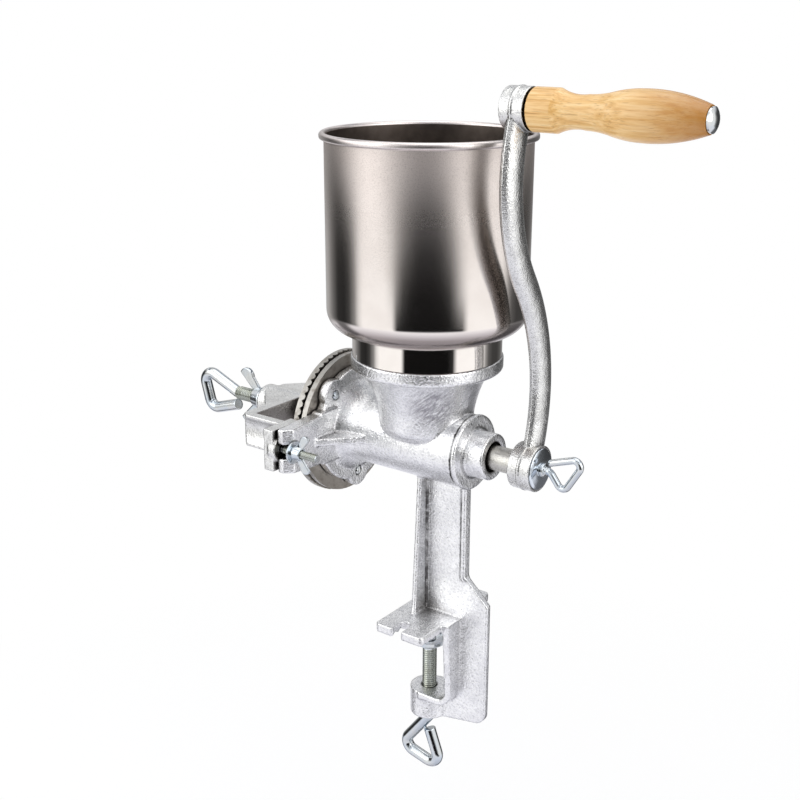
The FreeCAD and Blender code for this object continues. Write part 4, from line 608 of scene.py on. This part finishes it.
world = bpy.data.worlds.new("studio")
bpy.context.scene.world = world
world.use_nodes = True
tree = world.node_tree
tree.nodes.clear()
way = add(tree, "TexCoord", {}, "Generated")
turned = add(tree, "VectorRotate", {"Vector": way, "Angle": math.pi / 2 - CAMERA_TURN}, rotation_type="Z_AXIS")
front, right, _ = add(tree, "SeparateXYZ", {"Vector": turned}, None).outputs
angle = add(tree, "Math", {0: right, 1: front}, operation="ARCTAN2")
share = add(tree, "MapRange", {"Value": angle, "From Min": -math.pi, "From Max": math.pi})
rise = add(tree, "SeparateXYZ", {"Vector": way}, "Z")
height = add(tree, "MapRange", {"Value": rise, "From Min": -1, "From Max": 1})     # 0 straight down, 1 straight up
low, middle, high, below = [
    add(tree, "ValToRGB", {"Fac": share}, stops=[((degrees + 180) / 360, value) for degrees, value in round_it])
    for round_it in (LEFT + LOW_GAP + RIGHT, LEFT + MIDDLE_GAP + RIGHT, LEFT + HIGH_GAP + RIGHT, BELOW)]
around = low
for upper, start, end in ((middle, 0.376, 0.388), (high, 0.396, 0.430)):
    blend = add(tree, "MapRange", {"Value": height, "From Min": start, "From Max": end})
    around = add(tree, "Mix", {"Factor": blend, 6: around, 7: upper}, 2, data_type="RGBA")
away = add(tree, "ValToRGB", {"Fac": height}, stops=[
    (0.0, "#D2D2DA"), (0.16, "#EDEDF5"), (0.30, "#FAFAFF"), (0.6, "#F6F6F8"), (0.775, "#F6F6F8"),
    (0.80, "#4F5969"), (0.86, "#4F5969"), (0.885, "#FFFFFF")])
under = add(tree, "MapRange", {"Value": height, "From Min": 0.36, "From Max": 0.30})
away = add(tree, "Mix", {"Factor": under, 6: away, 7: below}, 2, data_type="RGBA", blend_type="MULTIPLY")
belt = add(tree, "ValToRGB", {"Fac": height}, stops=[(0.28, 0.0), (0.345, 1.0), (0.60, 1.0), (0.74, 0.0)])
belt.node.color_ramp.interpolation = "EASE"
room_colour = add(tree, "Mix", {"Factor": belt, 6: away, 7: around}, 2, data_type="RGBA")
rays = add(tree, "LightPath", {}, None).outputs
direct = add(tree, "Math", {0: rays["Is Camera Ray"], 1: rays["Is Transmission Ray"]}, operation="MAXIMUM")
room = add(tree, "Background", {"Color": room_colour, "Strength": 1.06})
white = add(tree, "Background", {"Color": WHITE, "Strength": 1.0})
shown = add(tree, "MixShader", {0: direct, 1: room, 2: white})
add(tree, "OutputWorld", {"Surface": shown}, None)

bm = bmesh.new()
bmesh.ops.create_grid(bm, x_segments=1, y_segments=1, size=6, matrix=Matrix.Translation((0, 0, FLOOR)))
floor = piece_of("floor", bm)
paint, tree, place = new_material("pale_floor_paint")
reach = add(tree, "VectorMath", {0: place}, "Value", operation="LENGTH")
fading = add(tree, "MapRange", {"Value": reach, "From Min": 0.25, "From Max": 0.75, "To Min": 0.4})
matt = add(tree, "BsdfDiffuse", {"Color": "#F7F7F7"})
glow = add(tree, "Emission", {"Color": WHITE, "Strength": 1.0})
lit = add(tree, "MixShader", {0: fading, 1: matt, 2: glow})
shown = add(tree, "MixShader", {0: add(tree, "LightPath", {}, "Is Camera Ray"), 1: matt, 2: lit})
add(tree, "OutputMaterial", {"Surface": shown}, None)
floor.data.materials.append(paint)
floor.visible_glossy = False

for name, place, size, power in LAMPS:
    light = bpy.data.lights.new(name, "AREA")
    light.size = size
    light.energy = power
    lamp = link(bpy.data.objects.new(name, light))
    lamp.location = place
    lamp.rotation_euler = (MIDDLE - Vector(place)).to_track_quat("-Z", "Y").to_euler()

camera_data = bpy.data.cameras.new("camera")
camera_data.lens = CAMERA_LENS
camera_data.sensor_width = 36
camera = link(bpy.data.objects.new("camera", camera_data))
camera.location = CAMERA_PLACE
camera.rotation_euler = (CAMERA_TILT, CAMERA_ROLL, CAMERA_TURN)
bpy.context.scene.camera = camera
bpy.context.scene.view_settings.view_transform = "Standard"
